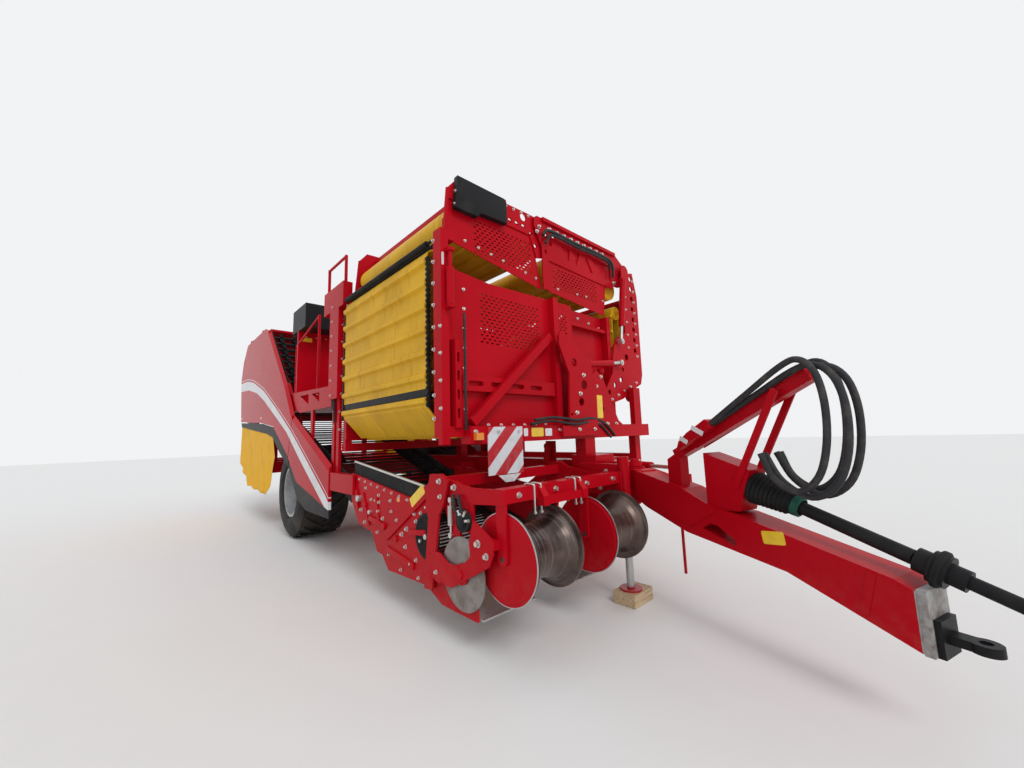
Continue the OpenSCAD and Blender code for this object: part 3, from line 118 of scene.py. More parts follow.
class Paint:
    # a node material built up from its sockets; "at" is the place in object coordinates
    def __init__(self, name, color, rough, metal=0.0, coat=0.0, gloss=0.5):
        self.material = bpy.data.materials.new(name)
        self.material.use_nodes = True
        self.tree = self.material.node_tree
        self.shader = self.tree.nodes["Principled BSDF"]
        constants = {
            "Base Color": (*color, 1), "Roughness": rough, "Metallic": metal,
            "Coat Weight": coat, "Coat Roughness": 0.1, "Specular IOR Level": gloss,
        }
        for key, value in constants.items():
            self.shader.inputs[key].default_value = value
        self.at = self.node("ShaderNodeTexCoord", out=3)

    def node(self, kind, settings=None, sockets=None, out=0):
        made = self.tree.nodes.new(kind)
        for key, value in (settings or {}).items():
            if key == "stops":
                ramp = made.color_ramp
                while len(ramp.elements) < len(value):
                    ramp.elements.new(0.5)
                for element, (at, shade) in zip(ramp.elements, value):
                    element.position = at
                    element.color = (shade, shade, shade, 1)
            else:
                setattr(made, key, value)
        for key, value in (sockets or {}).items():
            if isinstance(value, Sock):
                self.tree.links.new(value.out, made.inputs[key])
            else:
                made.inputs[key].default_value = value
        return Sock(self, made.outputs[out])

    def maths(self, operation, a, b=0.0, clamp=False):
        return self.node("ShaderNodeMath", {"operation": operation, "use_clamp": clamp}, {0: a, 1: b})

    def axis(self, n, at=None):
        return self.node("ShaderNodeSeparateXYZ", None, {0: at or self.at}, n)

    def stretched(self, scale, turn=(0, 0, 0)):
        angles = tuple(math.radians(a) for a in turn)
        return self.node("ShaderNodeMapping", None, {"Vector": self.at, "Scale": scale, "Rotation": angles})

    def noise(self, scale, detail, rough=0.55, at=None):
        given = {"Vector": at or self.at, "Scale": scale, "Detail": detail, "Roughness": rough}
        return self.node("ShaderNodeTexNoise", None, given)

    def wave(self, direction, scale, distortion=0.0):
        given = {"Vector": self.at, "Scale": scale, "Distortion": distortion}
        return self.node("ShaderNodeTexWave", {"bands_direction": direction}, given, 1)

    def ramp(self, value, stops):
        return self.node("ShaderNodeValToRGB", {"stops": stops}, {0: value})

    def mix(self, factor, a, b):
        a, b = (c if isinstance(c, Sock) else (*c, 1) for c in (a, b))
        return self.node("ShaderNodeMix", {"data_type": "RGBA"}, {0: factor, 6: a, 7: b}, 2)

    def over(self, shade, value, low, high, most, dirt):
        # dirt laid over a shade as the value rises from low to high
        return self.mix(self.ramp(value, [(low, 0.0), (high, most)]), shade, dirt)

    def feed(self, color, rough=None, bump=None, metal=None):
        # joins what varies to the shader; bump is (height, strength, distance)
        made = {"Base Color": color, "Metallic": metal}
        if rough:
            made["Roughness"] = rough.clamped()
        if bump:
            given = dict(zip(("Height", "Strength", "Distance"), bump))
            made["Normal"] = self.node("ShaderNodeBump", None, given)
        for key, value in made.items():
            if value:
                self.tree.links.new(value.out, self.shader.inputs[key])
        return self.material


# gain that turns a distance into a sharp edge, and a softer one
crisp, firm = 900, 400

redLook = {
    "light": (0.54, 0.004, 0.013), "deep": (0.38, 0.002, 0.008),
    "dust": (0.3, 0.17, 0.12), "dustTop": 0.8, "dustShare": 0.4,
}


def redPaint(name, rough=0.3, marks=None):
    p = Paint(name, redLook["light"], rough, gloss=0.07)
    spots = p.noise(14, 5, 0.6)
    low = ((redLook["dustTop"] - p.axis(2)) * 1.1).clamped() * p.ramp(spots, [(0.42, 0.0), (0.75, 0.8)])
    color = p.mix(p.noise(1.3, 2), redLook["deep"], redLook["light"])
    color = p.mix(low * redLook["dustShare"], color, redLook["dust"])
    if marks:
        color = marks(p, color)
    return p.feed(color, spots * 0.16 + (rough - 0.08) + low * 0.3, (p.noise(160, 2), 0.05, 0.002))


# pale stripe along the cover, as (y, z) on its side: a thin upper line, a gap and a broad band
stripe = {
    "from": -0.7, "length": 7.0, "height": 4.0, "white": (0.74, 0.73, 0.75), "soil": (0.5, 0.46, 0.44),
    "gap": 0.04, "line": 0.018, "seam": 3.64, "seamHalf": 0.004, "seamShade": (0.06, 0.003, 0.006),
    "top": [
        (-0.7, 0.62), (-0.35, 0.86), (0.53, 1.31), (1.41, 1.75), (2.51, 2.22),
        (3.5, 2.61), (4.53, 2.9), (5.25, 3.01), (6.0, 3.04), (6.3, 3.04),
    ],
    "bottom": [
        (-0.7, 0.5), (-0.3, 0.72), (0.88, 1.31), (1.66, 1.73), (2.71, 2.13),
        (3.45, 2.41), (4.18, 2.63), (5.05, 2.78), (5.94, 2.83), (6.3, 2.83),
    ],
}


def stripeMarks(p, color):
    start, length, height = stripe["from"], stripe["length"], stripe["height"]
    along, up = (p.axis(1) - start) / length, p.axis(2) / height
    edges = [[((y - start) / length, z / height) for y, z in stripe[key]] for key in ("top", "bottom")]
    top, bottom = (p.ramp(along, stops) for stops in edges)
    gap, line = stripe["gap"] / height, stripe["line"] / height
    band = (top - up).clamped(crisp) * (up - bottom).clamped(crisp)
    thin = (top + (gap + line) - up).clamped(crisp) * (up - top - gap).clamped(crisp)
    white = p.over(stripe["white"], p.noise(8, 4), 0.45, 0.8, 0.4, stripe["soil"])
    color = p.mix((band + thin).clamped(), color, white)
    beside = p.maths("ABSOLUTE", p.axis(1) - stripe["seam"])
    joint = (stripe["seamHalf"] - beside).clamped(firm) * (up - top).clamped(crisp)
    return p.mix(joint, color, stripe["seamShade"])


floorBand = {"low": 1.918, "high": 1.998, "side": -1.3, "gain": 600, "black": (0.014, 0.014, 0.015)}


def beltRubber(name, band=None):
    color, deep = (0.74, 0.42, 0.018), (0.5, 0.26, 0.01)
    p = Paint(name, color, 0.45, gloss=0.12)
    foldsAndShade = p.noise(1.7, 3, at=p.stretched((1.0, 9.0, 1.1), (8, 0, 0)))
    grain = p.noise(90, 3)
    shade = p.mix(p.ramp(p.noise(2.2, 4), [(0.3, 0.45), (0.62, 1.0)]), deep, color)
    # painted shade: the belt darkens to the deep colour in the hollows of its folds, so the ridges look lit;
    # the same fold height also drives the bump
    shade = p.mix(p.ramp(foldsAndShade, [(0.3, 0.6), (0.46, 0.0)]), shade, deep)
    if band:
        # black rubber bar across the outer face
        up, gain = p.axis(2), band["gain"]
        inside = (up - band["low"]).clamped(gain) * (band["high"] - up).clamped(gain)
        shade = p.mix(inside * (band["side"] - p.axis(0)).clamped(gain), shade, band["black"])
    return p.feed(shade, grain * 0.25 + 0.32, (foldsAndShade * 0.9 + grain * 0.05, 0.55, 0.012))


def darkRubber(name, color=(0.014, 0.014, 0.015), rough=0.55, dust=0.14):
    p = Paint(name, color, rough, gloss=0.1)
    grain = p.noise(60, 4)
    shade = p.over(color, p.noise(3.5, 4), 0.45, 0.8, dust, (0.17, 0.15, 0.13))
    return p.feed(shade, grain * 0.3 + (rough - 0.15), (grain, 0.12, 0.003))


def bareMetal(name, color, rough, metal, rust):
    p = Paint(name, color, rough, metal)
    scratch = p.noise(22, 4, at=p.stretched((1, 1, 14)))
    spots = p.ramp(p.noise(6, 5), [(0.42, 0.0), (0.62, rust)])
    shade = p.mix(spots, color, (0.13, 0.065, 0.035))
    bright = metal - spots * metal * 0.8
    return p.feed(shade, scratch * 0.3 + (rough - 0.12) + spots * 0.35, (scratch, 0.08, 0.002), bright)


def wornIron(name):
    p = Paint(name, (0.12, 0.09, 0.08), 0.35, 0.75)
    rings = p.noise(2.0, 3, at=p.stretched((26, 1, 1)))
    patch = p.noise(5, 5)
    shade = p.over((0.055, 0.04, 0.036), patch, 0.35, 0.7, 1.0, (0.17, 0.12, 0.1))
    shade = p.over(shade, rings, 0.56, 0.72, 0.45, (0.34, 0.31, 0.3))
    return p.feed(shade, patch * 0.4 + 0.14, (rings, 0.12, 0.003))


def tyreRubber(name):
    color = (0.018, 0.018, 0.019)
    p = Paint(name, color, 0.75, gloss=0.25)
    fine = p.noise(45, 4)
    low = (0.55 - p.axis(2)).clamped(1.6)
    mud = p.ramp(p.noise(4, 5), [(0.4, 0.0), (0.72, 0.9)]) * (low * 0.7 + 0.18)
    return p.feed(p.mix(mud, color, (0.14, 0.105, 0.075)), fine * 0.25 + 0.55, (fine, 0.2, 0.004))


def silverPaint(name):
    p = Paint(name, (0.55, 0.56, 0.57), 0.35, 0.6)
    patch = p.noise(7, 5)
    shade = p.over((0.56, 0.57, 0.58), patch, 0.48, 0.8, 0.6, (0.2, 0.17, 0.14))
    return p.feed(shade, patch * 0.4 + 0.15, (patch, 0.05, 0.004))


def sawnWood(name):
    p = Paint(name, (0.58, 0.42, 0.25), 0.8)
    grain = p.noise(3.0, 6, 0.65, p.stretched((1.2, 18, 26)))
    knots = p.noise(1.6, 2, at=p.stretched((2.5, 9, 9)))
    shade = p.over((0.4, 0.26, 0.14), grain, 0.35, 0.65, 1.0, (0.68, 0.52, 0.33))
    shade = p.over(shade, knots, 0.66, 0.74, 0.8, (0.2, 0.11, 0.05))
    return p.feed(shade, grain * 0.2 + 0.65, (grain, 0.35, 0.004))


def curtainCloth(name):
    p = Paint(name, (0.8, 0.44, 0.015), 0.55, gloss=0.12)
    weave = p.wave("Y", 90.0, 0.6) + p.wave("Z", 90.0, 0.6)
    soil = p.noise(3, 5)
    shade = p.over((0.84, 0.44, 0.01), soil, 0.48, 0.85, 0.45, (0.56, 0.29, 0.02))
    return p.feed(shade, soil * 0.25 + 0.42, (weave, 0.15, 0.001))


signLook = {"corner": (-1.27, 1.22), "stripe": 0.14, "red": (0.5, 0.02, 0.03), "white": (0.7, 0.72, 0.75)}


def warningSign(name):
    # slanting stripes, counted from the board's corner
    p = Paint(name, (0.75, 0.75, 0.76), 0.35, gloss=0.3)
    (x, z), wide = signLook["corner"], signLook["stripe"]
    band = p.maths("PINGPONG", (p.axis(0) - x) + (z - p.axis(2)) + wide, wide)
    soil = p.noise(11, 5)
    shade = p.mix((band - wide / 2).clamped(crisp), signLook["red"], signLook["white"])
    shade = p.over(shade, soil, 0.5, 0.8, 0.35, (0.3, 0.25, 0.22))
    return p.feed(shade, soil * 0.3 + 0.2)


def lampPlastic(name, deep=(0.7, 0.17, 0.01), bright=(0.92, 0.34, 0.03)):
    p = Paint(name, bright, 0.15, coat=0.6)
    ribs = p.wave("X", 60.0)
    return p.feed(p.mix(ribs, deep, bright), bump=(ribs, 0.3, 0.002))


def sleevedHose(name):
    # woven sleeve, its plait running round and along the hose
    p = Paint(name, (0.028, 0.028, 0.03), 0.6, gloss=0.15)
    at = p.node("ShaderNodeTexCoord", out=2)
    turn, run = p.axis(0, at) * 16.0, p.axis(1, at) * 260.0
    plait, cross = (p.maths("SINE", t * 3.1416) for t in (turn + run, turn - run))
    weave = plait * cross * 0.5 + 0.5
    shade = p.mix(weave, (0.018, 0.018, 0.02), (0.055, 0.055, 0.058))
    shade = p.over(shade, p.noise(9, 4), 0.48, 0.85, 0.4, (0.2, 0.17, 0.14))
    return p.feed(shade, weave * 0.2 + 0.5, (weave, 0.4, 0.001))


def ribbedHose(name):
    # hose in a spiral guard
    p = Paint(name, (0.02, 0.02, 0.021), 0.45, gloss=0.2)
    at = p.node("ShaderNodeTexCoord", out=2)
    wind = p.maths("SINE", (p.axis(0, at) + p.axis(1, at) * 55.0) * 6.2832)
    dust = p.noise(12, 4)
    shade = p.mix((wind * 0.5 + 0.5).clamped(), (0.012, 0.012, 0.013), (0.045, 0.045, 0.047))
    shade = p.over(shade, dust, 0.5, 0.85, 0.35, (0.19, 0.16, 0.14))
    return p.feed(shade, dust * 0.25 + 0.35, (wind, 0.6, 0.003))


def enamelPlate(name, color):
    p = Paint(name, color, 0.35, coat=0.3)
    soil = p.noise(18, 5)
    shade = p.over(color, soil, 0.48, 0.85, 0.5, tuple(0.45 * c + 0.03 for c in color))
    shade = p.over(shade, p.noise(5, 3), 0.55, 0.9, 0.3, (0.28, 0.22, 0.17))
    return p.feed(shade, soil * 0.3 + 0.2, (soil, 0.04, 0.002))


jackLook = {"legFrom": 0.135, "zinc": (0.5, 0.5, 0.49)}


def jackPaint(name):
    # red foot, zinc leg
    p = Paint(name, redLook["light"], 0.35)
    leg = (p.axis(2) - jackLook["legFrom"]).clamped(firm)
    scratch = p.noise(8, 4, at=p.stretched((14, 14, 1)))
    shade = p.mix(leg, redLook["deep"], jackLook["zinc"])
    shade = p.over(shade, scratch, 0.5, 0.8, 0.35, (0.24, 0.17, 0.13))
    return p.feed(shade, scratch * 0.3 + 0.22, (scratch, 0.06, 0.002), leg * 0.85)


endPlate = {"from": 2.1065, "steel": (0.36, 0.35, 0.34), "rust": (0.16, 0.1, 0.07)}


def endPlateMarks(p, color):
    # the drawbar's end plate is bare steel
    (x, y), a = drawbarRest["pivot"], math.radians(drawbarRest["angle"])
    ahead = (p.axis(0) - x) * -math.sin(a) - (p.axis(1) - y) * math.cos(a)
    bare = p.over(endPlate["steel"], p.noise(25, 5), 0.4, 0.75, 0.8, endPlate["rust"])
    return p.mix((ahead - endPlate["from"]).clamped(crisp), color, bare)


paints = {
    "red": redPaint("signalRedPaint"),
    "cover": redPaint("stripedCoverPaint", 0.24, stripeMarks),
    "drawbar": redPaint("drawbarPaint", marks=endPlateMarks),
    "belt": beltRubber("yellowBeltRubber"),
    "floorBelt": beltRubber("bunkerFloorRubber", floorBand),
    "curtain": curtainCloth("yellowCurtainCloth"),
    "black": darkRubber("blackPlastic", rough=0.42),
    "green": darkRubber("greenBootRing", (0.018, 0.085, 0.06), 0.45, 0.3),
    "rubber": darkRubber("blackRubber", rough=0.62),
    "tyre": tyreRubber("tyreRubber"),
    "rim": silverPaint("silverRimPaint"),
    "steel": bareMetal("bareSteel", (0.55, 0.56, 0.57), 0.35, 0.9, 0.25),
    "disc": bareMetal("wornDiscSteel", (0.3, 0.28, 0.27), 0.4, 0.8, 0.6),
    "zinc": bareMetal("zincPlating", (0.66, 0.65, 0.62), 0.3, 0.9, 0.12),
    "iron": wornIron("wornRollerIron"),
    "wood": sawnWood("sawnWood"),
    "sign": warningSign("warningStripes"),
    "lamp": lampPlastic("orangeLampPlastic"),
    "amberLens": lampPlastic("amberLens"),
    "redLens": lampPlastic("redLens", (0.3, 0.002, 0.004), (0.55, 0.006, 0.008)),
    "sleeve": sleevedHose("sleevedHose"),
    "hose": ribbedHose("guardedHose"),
    "whitePlate": enamelPlate("whiteEnamelPlate", (0.76, 0.76, 0.77)),
    "yellowPlate": enamelPlate("yellowEnamelPlate", (0.86, 0.56, 0.02)),
    "jack": jackPaint("jackPaint"),
}

# how the names of the CAD nodes that aren't red begin
dressed = {
    "belt": ("elevator_belts", "arm_belt", "tip_belt"),
    "floorBelt": ("moving_floor",),
    "cover": ("cover_",),
    "curtain": ("curtain_",),
    "black": ("floor_chains", "control_box", "skirt_", "pto_", "towing_eye"),
    "rubber": ("belt_rollers", "main_web", "star_rollers", "digger_web", "hoses"),
    "tyre": ("tyre_",),
    "rim": ("rim_",),
    "steel": ("shares",),
    "zinc": ("lift_rod", "steer_rod", "swing_rod", "arm_rod"),
    "jack": ("jack",),
    "wood": ("jack_block",),
    "drawbar": ("drawbar",),
    "disc": ("coulter_",),
    "iron": ("roller_",),
    "sign": ("sign_board",),
    "lamp": ("lamps",),
}


def dressNodes():
    for name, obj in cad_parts.items():
        # the last that fits, so that the block isn't painted as the jack
        fitting = [key for key, starts in dressed.items() if name.startswith(starts)]
        material = paints[fitting[-1] if fitting else "red"]
        if not obj.material_slots:
            obj.data.materials.append(material)
        for holder in obj.material_slots:
            holder.material = material


surfaces = {}


def surfaceOf(node):
    if node not in surfaces:
        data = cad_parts[node].data
        points = [v.co.copy() for v in data.vertices]
        surfaces[node] = BVHTree.FromPolygons(points, [list(p.vertices) for p in data.polygons])
    return surfaces[node]


def seat(node, start, aim, reach=3.0, facing=0.0):
    # where a ray meets a node, and the normal there, if the face looks back at the ray
    aim = Vector(aim)
    spot, normal, _, _ = surfaceOf(node).ray_cast(Vector(start), aim, reach)
    if spot is None:
        return None
    if normal.dot(aim) > 0:
        normal = -normal
    return (spot, normal) if -normal.dot(aim) >= facing else None


def middleOf(node):
    low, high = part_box(node)
    return (low + high) / 2


def rayStart(aim, at, a, b):
    # a and b are the two places across the aim, and at is where the ray begins along it
    return (at, a, b) if abs(aim[0]) > abs(aim[1]) else (a, at, b)


def place(name, body, mesh):
    obj = addObject(name, mesh)
    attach(obj, body)
    return obj


def keep(name, body, bm, finish, slot, sharp=0.6):
    bmesh.ops.remove_doubles(bm, verts=bm.verts[:], dist=1e-6)
    bmesh.ops.recalc_face_normals(bm, faces=bm.faces[:])
    mesh = bpy.data.meshes.new(name)
    bm.to_mesh(mesh)
    bm.free()
    mesh.shade_smooth()
    mesh.set_sharp_from_angle(angle=sharp)
    mesh.materials.append(paints[finish])
    return place(name, body, mesh)


def joinRings(bm, low, high):
    # closes two equal rings of points into a solid
    n = len(low)
    band = [(low[(i + 1) % n], low[i], high[i], high[(i + 1) % n]) for i in range(n)]
    return [bm.faces.new(corners) for corners in (low, high[::-1], *band)]


def addPrism(bm, outline, axis, low, high, bevel):
    # a plate whose outline lies square to the x or the y axis
    points = [[(t, a, b) if axis == "x" else (a, t, b) for a, b in outline] for t in (low, high)]
    faces = joinRings(bm, *([bm.verts.new(p) for p in ring] for ring in points))
    edges = list(dict.fromkeys(e for f in faces for e in f.edges))
    bmesh.ops.bevel(bm, geom=edges, offset=bevel, segments=2, profile=0.7, affect="EDGES")


def addPlate(bm, spot, normal, width, height, turn, thick=0.003, corner=0.012, gap=0.0004):
    # a bare plate with round corners, lying on a surface
    normal = Vector(normal).normalized()
    side = Vector((0, 0, 1)).cross(normal).normalized()
    spin = Matrix.Rotation(math.radians(turn), 3, normal)
    side, up = spin @ side, spin @ normal.cross(side)
    outline = []
    for sx, sy, start in ((1, 1, 0), (-1, 1, 90), (-1, -1, 180), (1, -1, 270)):
        for k in range(4):
            a = math.radians(start + 30 * k)
            u = sx * (width / 2 - corner) + corner * math.cos(a)
            v = sy * (height / 2 - corner) + corner * math.sin(a)
            outline.append(spot + side * u + up * v)
    joinRings(bm, *([bm.verts.new(p + normal * lift) for p in outline] for lift in (thick, gap)))


def smoothPath(points, steps):
    # a Catmull-Rom line through the points
    pts = [Vector(p) for p in points]
    pts = [pts[0] * 2 - pts[1], *pts, pts[-1] * 2 - pts[-2]]
    out = []
    for i in range(1, len(pts) - 2):
        a, b, c, d = pts[i - 1:i + 3]
        for k in range(steps):
            t = k / steps
            square, cube = 2 * a - 5 * b + 4 * c - d, 3 * b - a - 3 * c + d
            out.append(0.5 * (2 * b + (c - a) * t + square * t * t + cube * t ** 3))
    return [*out, pts[-2]]


def spokes(side, up, count):
    return [math.cos(a) * side + math.sin(a) * up for a in (2 * math.pi * k / count for k in range(count))]


def addTube(bm, path, radius, count=10):
    # a closed tube along a path; its map holds turns round and metres along
    marks = bm.loops.layers.uv.verify()
    rings, run, side = [], [0.0], None
    for a, b in zip(path, path[1:]):
        run.append(run[-1] + (b - a).length)
    for i, p in enumerate(path):
        ahead = (path[min(i + 1, len(path) - 1)] - path[max(i - 1, 0)]).normalized()
        if side is None:
            side = ahead.orthogonal().normalized()
        side = (side - ahead * side.dot(ahead)).normalized()
        rings.append([bm.verts.new(p + radius * s) for s in spokes(side, ahead.cross(side), count)])
    for i, (a, b) in enumerate(zip(rings, rings[1:])):
        for k in range(count):
            j = (k + 1) % count
            face = bm.faces.new((a[k], a[j], b[j], b[k]))
            for loop, (u, v) in zip(face.loops, ((k, i), (k + 1, i), (k + 1, i + 1), (k, i + 1))):
                loop[marks].uv = (u / count, run[v])
    bm.faces.new(rings[0][::-1])
    bm.faces.new(rings[-1])


def addTurned(bm, profile, centre, axis, count=48):
    # a closed shape turned about an axis; the profile lists (distance along, radius)
    axis, centre = Vector(axis).normalized(), Vector(centre)
    side = axis.orthogonal().normalized()
    circle = spokes(side, axis.cross(side), count)
    rings = []
    for along, radius in profile:
        aims = circle if radius else circle[:1]
        rings.append([bm.verts.new(centre + axis * along + radius * s) for s in aims])
    for a, b in zip(rings, rings[1:] + rings[:1]):
        for k in range(count if len(a) + len(b) > 2 else 0):
            j = (k + 1) % count
            corners = (a[k % len(a)], a[j % len(a)], b[j % len(b)], b[k % len(b)])
            bm.faces.new(list(dict.fromkeys(corners)))


def turnPiece(name, body, profile, centre, axis, count, finish, slot, sharp=0.6):
    bm = bmesh.new()
    addTurned(bm, profile, centre, axis, count)
    keep(name, body, bm, finish, slot, sharp)


def boltTree():
    # hex heads with washers on every point of a carrier
    tree = bpy.data.node_groups.new("boltHeads", "GeometryNodeTree")
    inputs = {"Points": "Geometry", "Head Width": "Float", "Head Height": "Float", "Finish": "Material"}
    for name, kind in inputs.items():
        tree.interface.new_socket(name=name, in_out="INPUT", socket_type="NodeSocket" + kind)
    tree.interface.new_socket(name="Bolts", in_out="OUTPUT", socket_type="NodeSocketGeometry")
    given = tree.nodes.new("NodeGroupInput").outputs

    def gear(kind, sockets, settings=None):
        # one node's output in use; a socket takes a value, another node's output or a list of them
        made = tree.nodes.new(kind)
        for key, value in (settings or {}).items():
            setattr(made, key, value)
        for key, value in sockets.items():
            for one in value if isinstance(value, list) else [value]:
                if isinstance(one, bpy.types.NodeSocket):
                    tree.links.new(one, made.inputs[key])
                else:
                    made.inputs[key].default_value = one
        return next(out for out in made.outputs if out.enabled)

    def times(value, factor):
        return gear("ShaderNodeMath", {0: value, 1: factor}, {"operation": "MULTIPLY"})

    def drum(corners, radius, depth, lift):
        mesh = gear("GeometryNodeMeshCylinder", {"Vertices": corners, "Radius": radius, "Depth": depth})
        raised = gear("ShaderNodeCombineXYZ", {"Z": lift})
        return gear("GeometryNodeTransform", {"Geometry": mesh, "Translation": raised})

    # a six-sided head stands on a washer a quarter as high
    width, height = given["Head Width"], given["Head Height"]
    thin = times(height, 0.25)
    head = drum(6, times(width, 0.5), height, times(height, 0.75))
    washer = drum(10, times(width, 0.72), thin, times(thin, 0.5))
    aim = gear("GeometryNodeInputNamedAttribute", {"Name": "aim"}, {"data_type": "FLOAT_VECTOR"})
    placed = gear("GeometryNodeInstanceOnPoints", {
        "Points": given["Points"],
        "Instance": gear("GeometryNodeJoinGeometry", {0: [head, washer]}),
        "Rotation": gear("FunctionNodeAlignRotationToVector", {"Vector": aim}, {"axis": "Z"}),
        "Scale": gear("GeometryNodeInputNamedAttribute", {"Name": "size"}, {"data_type": "FLOAT"}),
    })
    real = gear("GeometryNodeRealizeInstances", {0: placed})
    done = gear("GeometryNodeSetMaterial", {"Geometry": real, "Material": given["Finish"]})
    tree.links.new(done, tree.nodes.new("NodeGroupOutput").inputs[0])
    return tree


def growPiece(name, body, spots, tree, values):
    # runs a tree on points and keeps its result as one plain mesh
    carrier = bpy.data.meshes.new(name)
    carrier.from_pydata([s[0] for s in spots], [], [])
    aim = carrier.attributes.new("aim", "FLOAT_VECTOR", "POINT")
    aim.data.foreach_set("vector", [c for s in spots for c in s[1]])
    size = carrier.attributes.new("size", "FLOAT", "POINT")
    size.data.foreach_set("value", [s[2] for s in spots])
    holder = addObject(name + "Carrier", carrier)
    modifier = holder.modifiers.new("grow", "NODES")
    modifier.node_group = tree
    for item in tree.interface.items_tree:
        if item.name in values:
            modifier[item.identifier] = values[item.name]
    graph = bpy.context.evaluated_depsgraph_get()
    mesh = bpy.data.meshes.new_from_object(holder.evaluated_get(graph))
    holder.modifiers.clear()
    bpy.data.objects.remove(holder)
    place(name, body, mesh)


bolting = {"width": 0.026, "height": 0.015, "facing": 0.9}

# rows of bolts: body, node, aim, where the rays start along it,
# and (first place and last place across the aim, how many, size)
boltRows = [
    ("elevator_arm", "elevator_upper", toRear, -3.4, [
        (-0.13, 3.93, 0.93, 3.94, 9, 1.5), (-0.3, 3.91, -0.34, 3.84, 2, 1.3),
        (1.11, 3.74, 1.19, 3.6, 2, 1.5),
    ]),
    ("elevator_arm", "arm_sheets", toRear, -3.4, [(0.0, 3.24, 1.1, 3.3, 7, 0.8)]),
    ("elevator_end", "elevator_tip", toRear, -3.4, [(-0.78, 3.99, -0.44, 4.0, 4, 0.9)]),
    ("elevator_end", "tip_sheets", toRear, -3.4, [(-1.48, 3.45, -0.34, 3.3, 8, 0.8)]),
    ("elevator_end", "elevator_tip", toLeft, -2.0, [(-2.99, 3.46, -2.99, 3.86, 4, 0.8)]),
    ("elevator_base", "elevator_lower", toRear, -3.4, [
        (1.58, 2.6, 1.58, 3.7, 8, 1.0), (1.36, 2.7, 1.36, 3.6, 6, 0.9),
        (0.88, 1.97, 1.5, 2.22, 5, 1.0),
    ]),
    ("chassis", "bunker_front_wall", toRear, -3.4, [
        (-1.4, 1.8, -1.4, 2.9, 7, 0.9), (-1.3, 1.66, -0.2, 1.66, 8, 0.9),
        (0.2, 3.0, 0.86, 2.92, 4, 0.9),
    ]),
    ("chassis", "bunker_frame", toLeft, -2.2, [
        (-2.96, 1.72, -2.96, 3.3, 9, 1.0), (-3.06, 1.8, -3.06, 2.5, 4, 0.9),
    ]),
    ("chassis", "bunker_frame", toRear, -3.6, [
        (-1.4, 1.6, -0.9, 1.6, 3, 1.1), (-0.3, 1.6, 0.26, 1.6, 3, 1.1),
        (0.42, 1.66, 0.98, 1.66, 4, 1.2), (0.42, 2.1, 0.52, 2.22, 2, 1.2),
        (-0.05, 1.78, 0.1, 2.2, 3, 1.3),
    ]),
    ("chassis", "mast_frame", toLeft, -2.2, [(-0.42, 1.75, -0.42, 3.35, 9, 0.9)]),
    ("chassis", "mast_frame", toRear, -1.4, [(-1.62, 1.7, -1.62, 3.3, 8, 0.9)]),
    ("chassis", "picking_platform", toRear, 0.6, [
        (-1.5, 2.35, -1.1, 2.35, 3, 0.9), (-1.5, 3.34, -1.02, 3.34, 4, 0.7),
    ]),
    ("chassis", "main_frame", toLeft, -2.2, [(3.0, 1.1, 4.8, 1.1, 8, 1.1)]),
    ("chassis", "main_frame", toRight, 2.2, [(-2.8, 1.1, 4.8, 1.1, 18, 1.1)]),
    ("chassis", "main_frame", toRear, -3.4, [(0.5, 1.16, 1.5, 1.16, 5, 1.1)]),
    ("chassis", "headstock", toLeft, -0.6, [(-3.55, 1.18, -3.4, 0.85, 3, 1.2)]),
    ("chassis", "rear_hood", toFront, 6.6, [
        (-0.9, 2.35, -0.9, 3.6, 5, 0.9), (0.9, 2.35, 0.9, 3.6, 5, 0.9),
        (-1.4, 3.02, 1.4, 3.02, 9, 0.9),
    ]),
    ("digger", "digger_frame", toLeft, -2.2, [(-1.16, 1.14, -2.42, 1.0, 9, 0.8)]),
    ("digger", "digger_frame", toRight, 1.0, [(-1.16, 1.12, -2.5, 0.96, 9, 0.8)]),
    ("digger", "digger_frame", toRear, -4.2, [(-1.49, 1.14, -0.3, 1.14, 4, 1.2)]),
    ("drawbar", "drawbar", (0.96, -0.29, 0), -1.2, [(-4.6, 1.11, -4.66, 1.11, 2, 0.8)]),
]

# the digging unit's right side plate: where rays to it start, and how far they go
sidePlate = {"from": -2.2, "reach": 0.62}

# single bolts on that plate by size, as (y, z)
diggerBolts = {
    0.9: [
        (-1.5, 1.04), (-1.82, 0.99), (-2.08, 0.96), (-1.14, 1.0), (-1.14, 0.95), (-1.74, 0.93),
        (-1.64, 0.93), (-2.55, 0.89), (-2.66, 0.91), (-2.75, 0.97), (-2.1, 0.86), (-2.25, 0.8),
        (-2.05, 0.45), (-2.3, 0.36), (-2.62, 0.36),
    ],
    1.0: [
        (-1.83, 0.92), (-2.58, 0.83), (-2.58, 0.5), (-1.8, 0.62), (-2.48, 0.45), (-3.3, 0.4),
        (-2.98, 0.5),
    ],
    1.1: [(-1.81, 0.83), (-1.92, 0.77), (-1.19, 0.7), (-2.39, 0.58), (-3.04, 1.09)],
    1.2: [(-1.39, 0.8), (-1.49, 0.68), (-2.41, 0.74), (-2.32, 0.68)],
    1.3: [(-2.67, 0.68), (-3.62, 0.74), (-3.03, 1.21)],
    1.4: [(-3.19, 1.17)],
    1.5: [(-3.53, 0.81)],
}

wheelBolts = {"count": 10, "circle": 0.168, "size": 1.3, "from": 2.4}


def onSidePlate(y, z, facing=0.0):
    return seat("digger_frame", (sidePlate["from"], y, z), toLeft, sidePlate["reach"], facing)


